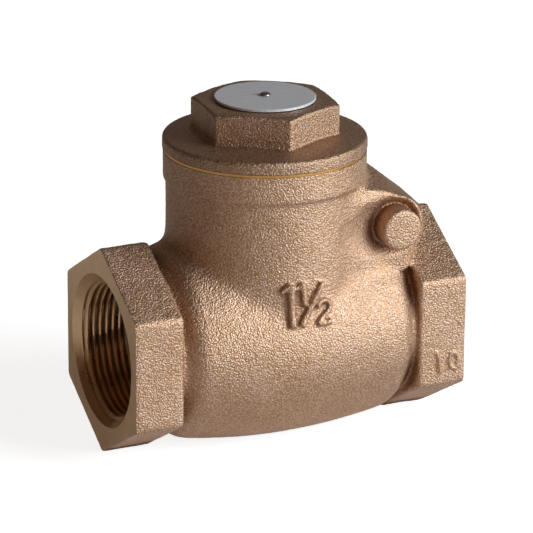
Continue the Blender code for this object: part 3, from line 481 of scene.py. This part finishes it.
def grained(piece, wave):
    """Gives a cast skin its slow unevenness and its sand grain."""
    mesh = piece.data
    normals = [vertex.normal.copy() for vertex in mesh.vertices]
    for vertex, normal in zip(mesh.vertices, normals):
        slow = noise.noise(vertex.co / WAVE_LENGTH)
        coarse = noise.noise(vertex.co / GRAIN_LENGTH)
        fine = noise.noise(vertex.co * (GRAIN_FINER / GRAIN_LENGTH))
        lift = wave * slow + GRAIN_HEIGHT * (coarse + 0.5 * fine)
        if abs(vertex.co.x) > PEEL_X and abs(vertex.co.z) > PEEL_Z:
            lift += PEEL_HEIGHT * noise.noise(vertex.co / PEEL_LENGTH)
        vertex.co += normal * lift
    mesh.update()
    return piece


def end_hexagon(name, side):
    """One hexagon end with rounded edges; side is 1 at the inlet and -1 at the outlet."""
    inner = HALF_LENGTH - END_COLLAR - END_INNER_STOCK
    outer = HALF_LENGTH + END_STOCK
    low, high = (inner, outer) if side > 0 else (-outer, -inner)
    made = prism(name, hexagon(END_FLATS), low, high, ALONG_X)
    reach = 0.5 * END_SIDE_FLATS
    sides_low = (low - CUT_OVERRUN, -reach, -END_FLATS)
    keep_within(made, box(name + "_sides", sides_low, (high + CUT_OVERRUN, reach, END_FLATS)))
    edges = made.modifiers.new("edges", "BEVEL")
    edges.width = END_EDGE_ROUNDING
    edges.segments = END_EDGE_STEPS
    edges.limit_method = "ANGLE"
    edges.angle_limit = END_EDGE_ANGLE
    return baked(made)


def barrel_profile():
    """The crowned barrel with rounded shoulders, as (radius, x) from inlet to outlet."""
    drop = BARREL_RADIUS - BARREL_SHOULDER_RADIUS
    crown = (BARREL_SHOULDER_X**2 + drop**2) / (2.0 * drop)
    lean = math.degrees(math.asin(BARREL_SHOULDER_X / crown))
    inwards = BARREL_ROUNDING * math.cos(math.radians(lean))
    back = BARREL_ROUNDING * math.sin(math.radians(lean))
    shoulder = (BARREL_SHOULDER_RADIUS - inwards, BARREL_SHOULDER_X - back)
    rounded = arc(shoulder, BARREL_ROUNDING, 90.0, lean)
    rounded = [point for point in rounded if point[0] > RECESS_RADIUS]
    crowned = arc((BARREL_RADIUS - crown, 0.0), crown, lean, 0.0)[1:]
    end_x = HALF_LENGTH - END_COLLAR + BURIED
    upper = [(0.0, end_x), (RECESS_RADIUS, end_x), (RECESS_RADIUS, rounded[0][1])]
    upper += rounded + crowned
    return upper + [(radius, -height) for radius, height in reversed(upper[:-1])]


def housing_over_hinge(name, side_y):
    """The hull with a sloping roof that the arm swings under."""
    shape = bmesh.new()
    for x, z in HOUSING_MIDDLE:
        lift = HOUSING_LIFT if z > 0.0 else 0.0
        shape.verts.new((HINGE_X + x * MM, 0.0, HINGE_Z + z * MM + lift))
    for side in (-side_y, side_y):
        for x, z in HOUSING_SIDE:
            shape.verts.new((HINGE_X + x * MM, side, HINGE_Z + z * MM))
    bmesh.ops.convex_hull(shape, input=shape.verts)
    return helper(name, shape)


def cheeks_beside_neck():
    """Fills the corners between the housing's sides and the neck."""
    low = HINGE_Z + min(z for _, z in HOUSING_SIDE) * MM
    start_x, start_z = HOUSING_SIDE[1]
    foot_z = HOUSING_SIDE[3][1]
    shape = bmesh.new()
    for side in (-1.0, 1.0):
        corners = ((start_x * MM, CHEEK_RISE, start_z * MM), (CHEEK_FOOT, 0.0, foot_z * MM))
        for x, out, z in corners:
            y = side * (HOUSING_SIDE_Y + out)
            shape.verts.new((HINGE_X + x, y, HINGE_Z + z))
            shape.verts.new((HINGE_X + x, y, low))
    bmesh.ops.convex_hull(shape, input=shape.verts)
    return helper("cheeks", shape)


def ridge(name, radius, points, target):
    """One raised line of a cast number, laid through points (x, z) on the target's near side."""
    tree = BVHTree.FromObject(target, bpy.context.evaluated_depsgraph_get())
    route = []
    # A cubic curve runs through the two middle points of every four
    ends = [points[0], *points, points[-1]]
    for section in zip(ends, ends[1:], ends[2:], ends[3:]):
        before, start, stop, after = (Vector(point) * MM for point in section)
        for step in range(MARK_STEPS):
            t = step / MARK_STEPS
            curved = before * (2.0 * t * t - t - t**3) + start * (2.0 - 5.0 * t * t + 3.0 * t**3)
            curved += stop * (t + 4.0 * t * t - 3.0 * t**3) + after * (t**3 - t * t)
            route.append(0.5 * curved)
    route.append(Vector(points[-1]) * MM)
    curve = bpy.data.curves.new(name, "CURVE")
    curve.dimensions = "3D"
    curve.bevel_depth = radius
    curve.bevel_resolution = MARK_ROUNDNESS
    curve.use_fill_caps = True
    spline = curve.splines.new("POLY")
    spline.points.add(len(route) - 1)
    for point, (x, z) in zip(spline.points, route):
        start = Vector((x, MARK_RAY_Y, z))
        hit, normal, _, _ = tree.ray_cast(start, Vector((0.0, 1.0, 0.0)))
        point.co = (*(hit + normal * MARK_LIFT * radius), 1.0)
    line = bpy.data.objects.new(name, curve)
    bpy.context.scene.collection.objects.link(line)
    bpy.context.view_layer.update()
    graph = bpy.context.evaluated_depsgraph_get()
    shape = bmesh.new()
    shape.from_mesh(line.evaluated_get(graph).to_mesh())
    bmesh.ops.remove_doubles(shape, verts=shape.verts, dist=MARK_WELD)
    bpy.data.objects.remove(line, do_unlink=True)
    return helper(name, shape)


def stub_dish():
    """Rings of the lopsided hollow round the near stub, wide outside and narrow inside."""
    floor_y, floor_radius, floor_shift = STUB_DISH_FLOOR
    slope = (STUB_FACE_Y - floor_y) / (STUB_DISH_RIM[0] - floor_y)
    wide = floor_radius + slope * (STUB_DISH_RIM[1] - floor_radius)
    shift = floor_shift + slope * (STUB_DISH_RIM[2] - floor_shift)
    rings = [
        [(r * math.cos(a) - s, r * math.sin(a), height) for a in round_angles()]
        for r, s, height in ((wide, shift, STUB_FACE_Y), (floor_radius, floor_shift, floor_y))
    ]
    return [[(-shift, 0.0, STUB_FACE_Y)], *rings, [(-floor_shift, 0.0, floor_y)]]


def cast_body():
    """The body's outside, as it leaves the sand."""
    body = turned("cast_body", barrel_profile(), ALONG_X, CORE_ROUND)
    helpers.remove(body)
    neck_high = NECK_TOP_Z + FACE_STOCK
    pooled(
        body,
        rod("neck", NECK_RADIUS, 0.0, neck_high, NECK_PLACE),
        housing_over_hinge("housing_core", HOUSING_SIDE_Y - HOUSING_CORE_INSET),
        cheeks_beside_neck(),
    )
    skinned(body, CORE_VOXEL, CORE_BLEND)
    pooled(
        body,
        turned("barrel", barrel_profile(), ALONG_X),
        rod("neck_collar", NECK_COLLAR_RADIUS, NECK_COLLAR_Z, neck_high, NECK_PLACE),
        housing_over_hinge("housing", HOUSING_SIDE_Y),
        rod("stub_cup", STUB_CUP_RADIUS, 0.0, STUB_CUP_FACE_Y, NEAR_PLACE),
        rod("far_boss", FAR_BOSS_RADIUS, 0.0, FAR_BOSS_FACE_Y + FACE_STOCK, HINGE_PLACE),
        end_hexagon("inlet_hexagon", 1),
        end_hexagon("outlet_hexagon", -1),
    )
    skinned(body, SKIN_VOXEL, 0)
    cut(body, ringed("stub_dish", stub_dish(), NEAR_PLACE))
    pooled(body, rod("stub", STUB_RADIUS, STUB_DISH_FLOOR[0] - BURIED, STUB_FACE_Y, NEAR_PLACE))
    skinned(body, SKIN_VOXEL, SKIN_BLEND)
    groove = ringed("stub_groove", stub_dish(), NEAR_PLACE)
    cut(groove, rod("stub_core", STUB_RADIUS, 0.0, STUB_FACE_Y + BURIED, NEAR_PLACE))
    cut(body, groove)
    marks = [ridge(name, radius * MM, points, body) for name, radius, points in MARKS]
    edge = rod("collar_edge", NECK_COLLAR_RADIUS, NECK_COLLAR_Z, neck_high, NECK_PLACE)
    pooled(body, edge, *marks)
    skinned(body, SKIN_VOXEL, MARK_BLEND)
    return thinned(grained(body, WAVE_HEIGHT), BODY_FACES)


def threaded_port(name, place, inner):
    """What is cut out of one end: bore, taper thread, and the cone at its mouth."""
    start = HALF_LENGTH - THREAD_DEPTH
    count = round((THREAD_DEPTH + CUT_OVERRUN) / PITCH * THREAD_RINGS)
    rings = [[(0.0, 0.0, inner)]]
    angles = round_angles()

    def ring(height, radii):
        return [(r * math.cos(a), r * math.sin(a), height) for r, a in zip(radii, angles)]

    rings.append(ring(inner, [WATERWAY_RADIUS] * ROUND))
    rings.append(ring(start - THREAD_RUN_IN, [WATERWAY_RADIUS] * ROUND))
    for index in range(count + 1):
        height = start + (THREAD_DEPTH + CUT_OVERRUN) * index / count
        base = THREAD_MINOR_RADIUS + THREAD_TAPER * (height - start - THREAD_DEPTH)
        widening = (height - HALF_LENGTH) * (MOUTH_RADIUS - THREAD_MINOR_RADIUS)
        cone = min(MOUTH_RADIUS, MOUTH_RADIUS + widening / MOUTH_CHAMFER)
        grown = min(1.0, (height - start) / PITCH)
        radii = []
        for angle in angles:
            turn = (height / PITCH - angle / (2.0 * math.pi)) % 1.0
            tooth = SHARP_TOOTH * (1.0 - abs(2.0 * turn - 1.0)) - TOOTH_CUT
            tooth = min(1.0, max(0.0, tooth))
            radii.append(max(base + grown * THREAD_HEIGHT * tooth, cone))
        rings.append(ring(height, radii))
    rings.append([(0.0, 0.0, HALF_LENGTH + CUT_OVERRUN)])
    return ringed(name, rings, place)


def chamber():
    """The hollow behind the seat, up to the slanted wall that carries the seat."""
    profile = [
        (0.0, SEAT_X + CUT_OVERRUN),
        (CHAMBER_RADIUS, SEAT_X + CUT_OVERRUN),
        (CHAMBER_RADIUS, CHAMBER_OUTLET_X + CHAMBER_TAPER),
        (WATERWAY_RADIUS - OVERLAP, CHAMBER_OUTLET_X - CHAMBER_TAPER),
        (0.0, CHAMBER_OUTLET_X - CHAMBER_TAPER),
    ]
    hollow = turned("chamber", profile, ALONG_X)
    wide = 2.0 * CHAMBER_RADIUS
    return cut(hollow, rod("seat_wall", wide, -CHAMBER_RADIUS, -SEAT_HEIGHT, SEAT_PLACE))


def hinge_pocket():
    """The hollow in which the arm turns, under a roof of even wall, open to the chamber."""
    half = POCKET_HALF_WIDTH
    pocket = rod("hinge_pocket", POCKET_RADIUS, -half, half, HINGE_PLACE)
    hub = Vector((HINGE_X, HINGE_Z))
    crest = hub + Vector(HOUSING_MIDDLE[2]) * MM
    slope_end = hub + Vector(HOUSING_MIDDLE[3]) * MM
    along = (slope_end - crest).normalized()
    inwards = Vector((along.y, -along.x))
    roof = crest + inwards * HOUSING_WALL
    touch = hub - inwards * POCKET_RADIUS
    low_z = CHAMBER_RADIUS - 2.0 * BURIED
    wall_x = SEAT_X + SEAT_HEIGHT + math.tan(SEAT_TILT) * low_z
    outline = [(0.0, low_z), (wall_x, low_z), (hub.x, hub.y - POCKET_RADIUS)]
    outline += [tuple(hub), tuple(touch), tuple(roof), (0.0, roof.y)]
    return join(pocket, prism("pocket_mouth", outline, -half, half, UPRIGHT))


def machined_body():
    """The cast body with its faces, bores, threads and seat."""
    body = cast_body()
    reach = 2.0 * HALF_LENGTH
    neck_high = NECK_TOP_Z + CUT_OVERRUN
    boss_high = FAR_BOSS_FACE_Y + 2.0 * CUT_OVERRUN
    band = [
        (NECK_BAND_RADIUS, neck_high),
        (NECK_COLLAR_RADIUS + CUT_OVERRUN, neck_high),
        (NECK_COLLAR_RADIUS + CUT_OVERRUN, NECK_TOP_Z - NECK_BAND_HEIGHT),
        (NECK_BAND_RADIUS, NECK_TOP_Z - NECK_BAND_HEIGHT),
    ]
    cut(
        body,
        box("inlet_facing", (HALF_LENGTH, -reach, -reach), (reach, reach, reach)),
        box("outlet_facing", (-reach, -reach, -reach), (-HALF_LENGTH, reach, reach)),
        box("neck_facing", (-reach, -reach, NECK_TOP_Z), (reach, reach, reach)),
        turned("neck_band", band, NECK_PLACE),
        rod("far_facing", 2.0 * FAR_BOSS_RADIUS, FAR_BOSS_FACE_Y, boss_high, HINGE_PLACE),
        chamber(),
        rod("neck_bore", NECK_BORE_RADIUS, 0.0, neck_high, NECK_PLACE),
        hinge_pocket(),
    )
    join(body, rod("seat", WATERWAY_RADIUS + SEAT_LAND, -SEAT_HEIGHT - BURIED, 0.0, SEAT_PLACE))
    pin_low = STUB_END_WALL - STUB_FACE_Y
    plug_high = FAR_BOSS_FACE_Y + CUT_OVERRUN
    cut(
        body,
        threaded_port("inlet_port", ALONG_X, SEAT_X - CUT_OVERRUN),
        threaded_port("outlet_port", ALONG_BACK_X, -CHAMBER_OUTLET_X),
        rod("pin_hole", PIN_HOLE_RADIUS, pin_low, FAR_BOSS_FACE_Y, HINGE_PLACE, PIN_HOLE_ROUND),
        rod("plug_hole", PLUG_HOLE_RADIUS, PLUG_HOLE_LOW, plug_high, HINGE_PLACE, PLUG_HOLE_ROUND),
    )
    return body


def machined_cap():
    """The cap: cast flange and hexagon, turned skirt and hollow, and the rivet's hole."""
    rounding = (CAP_FLANGE_RADIUS - CAP_RIM_ROUNDING, CAP_RIM_Z - CAP_RIM_ROUNDING)
    low = CAP_LOW_Z - FACE_STOCK
    profile = [(0.0, CAP_HEX_Z), (0.5 * CAP_HEX_FLATS, CAP_HEX_Z)]
    profile += arc(rounding, CAP_RIM_ROUNDING, 90.0, 0.0)
    profile += [(CAP_FLANGE_RADIUS, low), (0.0, low)]
    cap = turned("cast_cap", profile, NECK_PLACE)
    helpers.remove(cap)
    head = prism("cap_hexagon", hexagon(CAP_HEX_FLATS, CAP_HEX_TURN), low, CAP_TOP_Z, NECK_PLACE)
    corner = CAP_HEX_FLATS / math.sqrt(3.0)
    crown = [
        (0.0, CAP_TOP_Z + GAP),
        (0.5 * CAP_HEX_FLATS - CAP_CROWN_INSET, CAP_TOP_Z + GAP),
        (corner, CAP_TOP_Z - CAP_HEX_CHAMFER),
        (corner + BURIED, CAP_TOP_Z - 2.0 * CAP_HEX_CHAMFER),
        (corner + BURIED, low - OVERLAP),
        (0.0, low - OVERLAP),
    ]
    keep_within(head, turned("cap_crown", crown, NECK_PLACE))
    pooled(cap, head)
    skinned(cap, CAP_VOXEL, CAP_BLEND)
    thinned(grained(cap, CAP_WAVE_HEIGHT), CAP_FACES)
    cut(cap, rod("cap_facing", 2.0 * CAP_FLANGE_RADIUS, 0.0, CAP_LOW_Z, NECK_PLACE))
    recess_high = CAP_LOW_Z + CAP_RECESS_DEPTH
    cut(cap, rod("cap_recess", CAP_RECESS_RADIUS, 0.0, recess_high, NECK_PLACE))
    skirt_low = CAP_LOW_Z - CAP_SKIRT_LENGTH
    join(cap, rod("cap_skirt", CAP_SKIRT_RADIUS, skirt_low, CAP_LOW_Z + BURIED, NECK_PLACE))
    hollow = [
        (0.0, CAP_TOP_Z - CAP_CROWN),
        (CAP_HOLLOW_RADIUS, CAP_TOP_Z - CAP_CROWN),
        (CAP_SKIRT_RADIUS - CAP_SKIRT_WALL, CAP_LOW_Z),
        (CAP_SKIRT_RADIUS - CAP_SKIRT_WALL, skirt_low - OVERLAP),
        (0.0, skirt_low - OVERLAP),
    ]
    rivet_high = CAP_TOP_Z + CUT_OVERRUN
    rivet_hole = rod(
        "rivet_hole", RIVET_HOLE_RADIUS, RIVET_HOLE_LOW, rivet_high, NECK_PLACE, RIVET_HOLE_ROUND
    )
    return cut(cap, turned("cap_hollow", hollow, NECK_PLACE), rivet_hole)


class Shading:
    """Short words for building one node material."""

    def __init__(self, name):
        self.material = bpy.data.materials.new(name)
        self.material.use_nodes = True
        self.tree = self.material.node_tree
        self.shader = self.tree.nodes["Principled BSDF"]
        self.where = self.node("ShaderNodeTexCoord").outputs["Object"]

    def node(self, kind, **settings):
        made = self.tree.nodes.new(kind)
        for key, value in settings.items():
            setattr(made, key, value)
        return made

    def feed(self, value, socket):
        """Links an output to the socket, or sets a number or colour on it."""
        if hasattr(value, "links"):
            self.tree.links.new(value, socket)
        elif isinstance(value, tuple):
            socket.default_value = (*value, 1.0)
        else:
            socket.default_value = value

    def noise(self, size, detail=2.0, roughness=0.5, where=None):
        made = self.node("ShaderNodeTexNoise")
        made.inputs["Scale"].default_value = 1.0 / size
        made.inputs["Detail"].default_value = detail
        made.inputs["Roughness"].default_value = roughness
        self.feed(where or self.where, made.inputs["Vector"])
        return made.outputs["Fac"]

    def pebbles(self, size):
        made = self.node("ShaderNodeTexVoronoi", feature="SMOOTH_F1")
        made.inputs["Scale"].default_value = 1.0 / size
        made.inputs["Smoothness"].default_value = PEBBLE_SOFTNESS
        self.feed(self.where, made.inputs["Vector"])
        return made.outputs["Distance"]

    def hollows(self, reach):
        """1 in the open, and less in corners and grooves of that width."""
        made = self.node("ShaderNodeAmbientOcclusion", samples=HOLLOW_SAMPLES)
        made.inputs["Distance"].default_value = reach
        return made.outputs["AO"]

    def ramp(self, value, *stops):
        """Turns a value into a colour; each stop is a position and a grey or a colour."""
        made = self.node("ShaderNodeValToRGB")
        elements = made.color_ramp.elements
        while len(elements) < len(stops):
            elements.new(0.5)
        for element, (position, colour) in zip(elements, stops):
            element.position = position
            if not isinstance(colour, tuple):
                colour = (colour, colour, colour)
            element.color = (*colour, 1.0)
        self.feed(value, made.inputs["Fac"])
        return made.outputs["Color"]

    def mix(self, factor, first, second, blend="MIX"):
        # Inputs 6 and 7 and output 2 of this node are its colours
        made = self.node("ShaderNodeMix", data_type="RGBA", blend_type=blend)
        for value, place in ((factor, 0), (first, 6), (second, 7)):
            self.feed(value, made.inputs[place])
        return made.outputs[2]

    def math(self, operation, first, second=0.0):
        made = self.node("ShaderNodeMath", operation=operation)
        self.feed(first, made.inputs[0])
        self.feed(second, made.inputs[1])
        return made.outputs[0]

    def bump(self, height, depth, strength=1.0):
        made = self.node("ShaderNodeBump")
        made.inputs["Distance"].default_value = depth
        made.inputs["Strength"].default_value = strength
        self.feed(height, made.inputs["Height"])
        return made.outputs["Normal"]

    def finish(self, colour, roughness, normal=None, metallic=1.0):
        self.feed(colour, self.shader.inputs["Base Color"])
        self.feed(roughness, self.shader.inputs["Roughness"])
        if normal is not None:
            self.feed(normal, self.shader.inputs["Normal"])
        self.shader.inputs["Metallic"].default_value = metallic
        return self.material


def cast_bronze(name, tone):
    """Shot-blasted bronze: warm, matt and grainy, with painted glints on its grains' peaks and
    painted shade in its pits and hollows.
    """
    s = Shading(name)
    pits = s.math("MULTIPLY", s.pebbles(PEBBLE_SIZE), -PEBBLE_SHARE)
    fine = s.noise(FINE_SIZE, 2.0, 0.6)
    height = s.math("ADD", pits, s.math("MULTIPLY", fine, PEBBLE_SHARE))
    patches = s.noise(PATCH_SIZE, 3.0, 0.55)
    dark, light, stain = (
        tuple(tone * c for c in colour) for colour in (BRONZE_DARK, BRONZE_LIGHT, BRONZE_STAIN)
    )
    base = s.ramp(patches, (0.3, dark), (0.7, light))
    stains = s.ramp(s.noise(STAIN_SIZE, 2.0, 0.5), (0.66, 0.0), (0.78, 0.4))
    base = s.mix(stains, base, stain)
    raised = s.math("ADD", height, 0.5)
    # The grain's own colour with painted light: painted shade in the pits, painted glints on the
    # peaks
    grain_shade_and_glints = s.ramp(raised, (0.42, PIT_SHADE_TINT), (0.62, 1.0), (0.82, PEAK_GLINT_TINT))
    colour = s.mix(1.0, base, grain_shade_and_glints, "MULTIPLY")
    # Painted shade: corners and hollows darkened by how far the casting closes over them
    hollow_shade = s.ramp(s.hollows(CORNER_REACH), (0.35, HOLLOW_SHADE_TINT), (0.85, 1.0))
    colour = s.mix(1.0, colour, hollow_shade, "MULTIPLY")
    roughness = s.ramp(fine, (0.3, 0.48), (0.7, 0.6))
    return s.finish(colour, roughness, s.bump(height, BRONZE_RELIEF))


def machined_bronze(name, colour, groove_shade_share):
    """Turned bronze: faint tool marks, and painted shade that darkens its grooves to that share of
    the colour.
    """
    s = Shading(name)
    tone = s.noise(TURNED_PATCH_SIZE, 3.0, 0.6)
    dark = tuple(TURNED_SHADE * c for c in colour)
    base = s.ramp(tone, (0.25, dark), (0.75, colour))
    # Painted shade: grooves and thread roots darkened by how far the metal closes over them
    groove_shade = s.ramp(s.hollows(GROOVE_REACH), (0.45, groove_shade_share), (0.85, 1.0))
    base = s.mix(1.0, base, groove_shade, "MULTIPLY")
    marks = s.noise(TURNED_MARK_SIZE, 2.0)
    roughness = s.ramp(tone, (0.3, 0.26), (0.7, 0.4))
    return s.finish(base, roughness, s.bump(marks, TURNED_RELIEF, 0.5))


def plain_metal(name, colour, rough, mark=METAL_MARK_SIZE):
    """Turned or drawn metal of the small pieces, with tool marks of that size."""
    s = Shading(name)
    tone = s.noise(METAL_PATCH_SIZE, 3.0, 0.6)
    dark = tuple(METAL_SHADE * c for c in colour)
    base = s.ramp(tone, (0.25, dark), (0.75, colour))
    roughness = s.ramp(tone, (0.3, rough - 0.05), (0.7, rough + 0.1))
    return s.finish(base, roughness, s.bump(s.noise(mark, 2.0), METAL_RELIEF, 0.5))


def brushed_plate():
    """The round plate: aluminium sheet brushed one way."""
    s = Shading("plate_looks")
    stretch = s.node("ShaderNodeMapping")
    stretch.inputs["Scale"].default_value = (1.0, PLATE_STRETCH, 1.0)
    stretch.inputs["Rotation"].default_value = (0.0, 0.0, PLATE_TURN)
    s.feed(s.where, stretch.inputs["Vector"])
    lines = s.noise(PLATE_LINE_SIZE, 3.0, 0.6, stretch.outputs["Vector"])
    colour = s.ramp(lines, (0.3, PLATE_DARK), (0.7, PLATE_LIGHT))
    roughness = s.ramp(lines, (0.3, 0.3), (0.7, 0.45))
    return s.finish(colour, roughness, s.bump(lines, PLATE_RELIEF, 0.4), metallic=0.3)


def gasket_fibre():
    """Pressed fibre sheet: dark, matt and flecked."""
    s = Shading("gasket_looks")
    flecks = s.noise(FLECK_SIZE, 3.0, 0.7)
    colour = s.ramp(flecks, (0.35, FIBRE_DARK), (0.65, FIBRE_LIGHT))
    return s.finish(colour, 0.85, s.bump(flecks, FLECK_RELIEF, 0.5), metallic=0.0)


def lay_materials(piece, finishes, finish_of):
    """Gives each face of a casting its finish, told by where the face is."""
    mesh = piece.data
    mesh.materials.clear()
    for finish in finishes:
        mesh.materials.append(finish)
    mesh.shade_smooth()
    for polygon in mesh.polygons:
        polygon.material_index = finish_of(polygon)
    mesh.set_sharp_from_angle(angle=SHARP_ANGLE)


def body_finish(polygon):
    """Turned are the end faces, the ports, the neck's bore and the seat; a band runs on top."""
    x, y, z = polygon.center
    around = math.hypot(y, z)
    from_neck = math.hypot(x - NECK_X, y)
    on_end = abs(abs(x) - HALF_LENGTH) < FACE_SLACK and abs(polygon.normal.x) > END_FACING
    at_port = abs(x) > HALF_LENGTH - THREAD_DEPTH - PORT_MARGIN
    if on_end or (at_port and around < MOUTH_RADIUS + MOUTH_SLACK):
        return TURNED
    at_band = z > NECK_TOP_Z - NECK_BAND_HEIGHT - BAND_SLACK
    if at_band and from_neck < NECK_BAND_RADIUS + FACE_SLACK:
        return BAND
    if z > NECK_COLLAR_Z and from_neck < NECK_BORE_RADIUS + BORE_SLACK:
        return TURNED
    near_seat = abs(x - SEAT_X) < SEAT_MARGIN
    on_seat = near_seat and around < WATERWAY_RADIUS + SEAT_LAND + BORE_SLACK
    return TURNED if on_seat else CAST


def cap_finish(polygon):
    """Turned are the underside, the skirt and the hollow in it."""
    x, y, z = polygon.center
    under = z < CAP_LOW_Z + FACE_SLACK
    inside = math.hypot(x - NECK_X, y) < CAP_SKIRT_RADIUS and z < CAP_RIM_Z
    return TURNED if under or inside else CAST


def pale_floor():
    """Pale and matt; the camera, and what mirrors it, sees it lighter than the lamps make it."""
    s = Shading("pale_floor")
    seen = s.node("ShaderNodeLightPath").outputs
    mirrored = s.math("MAXIMUM", seen["Is Glossy Ray"], seen["Is Transmission Ray"])
    glow_seen = s.math("MULTIPLY", seen["Is Camera Ray"], FLOOR_GLOW_SEEN)
    glow_mirrored = s.math("MULTIPLY", mirrored, FLOOR_GLOW_MIRRORED)
    glow = s.node("ShaderNodeEmission")
    s.feed(s.math("ADD", glow_seen, glow_mirrored), glow.inputs["Strength"])
    s.finish(FLOOR_COLOUR, 0.9, metallic=0.0)
    both = s.node("ShaderNodeAddShader")
    s.feed(s.shader.outputs["BSDF"], both.inputs[0])
    s.feed(glow.outputs["Emission"], both.inputs[1])
    s.feed(both.outputs["Shader"], s.tree.nodes["Material Output"].inputs["Surface"])
    return s.material


def studio_world():
    """A dim warm room, which the camera sees as white."""
    world = bpy.data.worlds.new("studio")
    world.use_nodes = True
    tree = world.node_tree
    seen = tree.nodes.new("ShaderNodeLightPath")
    walls = tree.nodes.new("ShaderNodeMix")
    walls.data_type = "RGBA"
    walls.inputs[6].default_value = ROOM_COLOUR
    walls.inputs[7].default_value = ROOM_SEEN
    tree.links.new(seen.outputs["Is Camera Ray"], walls.inputs[0])
    tree.links.new(walls.outputs[2], tree.nodes["Background"].inputs["Color"])
    return world


def facing(azimuth, elevation, distance, target):
    """A place round the target, and the turn that looks at it."""
    a = math.radians(azimuth)
    e = math.radians(elevation)
    back = Vector((math.sin(a) * math.cos(e), -math.cos(a) * math.cos(e), math.sin(e)))
    turn = back.to_track_quat("Z", "Y").to_matrix().to_4x4()
    return Matrix.Translation(Vector(target) + back * distance) @ turn


def lamp(name, azimuth, elevation, distance, size, power, colour):
    """A round area lamp that shines on the object."""
    light = bpy.data.lights.new(name, "AREA")
    light.shape = "DISK"
    light.size = size
    light.energy = power
    light.color = colour
    made = bpy.data.objects.new(name, light)
    bpy.context.scene.collection.objects.link(made)
    made.matrix_world = facing(azimuth, elevation, distance, LAMP_TARGET)


def photo_camera():
    """A camera where the photograph was taken from."""
    data = bpy.data.cameras.new("camera")
    data.lens = CAMERA_LENS
    data.sensor_width = CAMERA_SENSOR
    made = bpy.data.objects.new("camera", data)
    bpy.context.scene.collection.objects.link(made)
    place = facing(CAMERA_AZIMUTH, CAMERA_ELEVATION, CAMERA_DISTANCE, CAMERA_TARGET)
    made.matrix_world = place @ Matrix.Rotation(CAMERA_ROLL, 4, "Z")
    return made


bronze = cast_bronze("cast_bronze_looks", 1.0)
cap_bronze = cast_bronze("cap_bronze_looks", CAP_TONE)
turned_bronze = machined_bronze("machined_bronze_looks", TURNED_BRONZE, 0.45)
band_bronze = machined_bronze("band_looks", BAND_BRONZE, 0.5)
body = machined_body()
cap = machined_cap()
for tool in helpers:
    bpy.data.objects.remove(tool, do_unlink=True)
lay_materials(body, (bronze, turned_bronze, band_bronze), body_finish)
lay_materials(cap, (cap_bronze, turned_bronze), cap_finish)
for piece, node in ((body, "body"), (cap, "cap")):
    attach(piece, "housing")
    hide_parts(node)

brass = plain_metal("brass_looks", BRASS, 0.28)
steel = plain_metal("steel_looks", STEEL, 0.25, STEEL_MARK_SIZE)
rivet_metal = plain_metal("rivet_looks", RIVET_METAL, 0.35)
fibre = gasket_fibre()
LOOKS = {
    "cap_gasket": fibre,
    "plug_gasket": fibre,
    "name_plate": brushed_plate(),
    "name_plate_rivet": rivet_metal,
    "hinge_pin": steel,
    "hinge_pin_plug": brass,
    "disc_arm": bronze,
    "disc": turned_bronze,
    "disc_washer": brass,
    "disc_nut": brass,
    "disc_split_pin": steel,
}
for node, material in LOOKS.items():
    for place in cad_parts[node].material_slots:
        place.material = material

floor_z = CAD_BOX[0][2] - FLOOR_GAP
bpy.ops.mesh.primitive_plane_add(size=2.0 * FLOOR_REACH, location=(0.0, 0.0, floor_z))
floor = bpy.context.object
floor.name = "floor"
floor.data.materials.append(pale_floor())
bpy.context.scene.world = studio_world()
for settings in LAMPS:
    lamp(*settings)
bpy.context.scene.camera = photo_camera()
bpy.context.scene.view_settings.view_transform = "Standard"

bpy.context.view_layer.update()
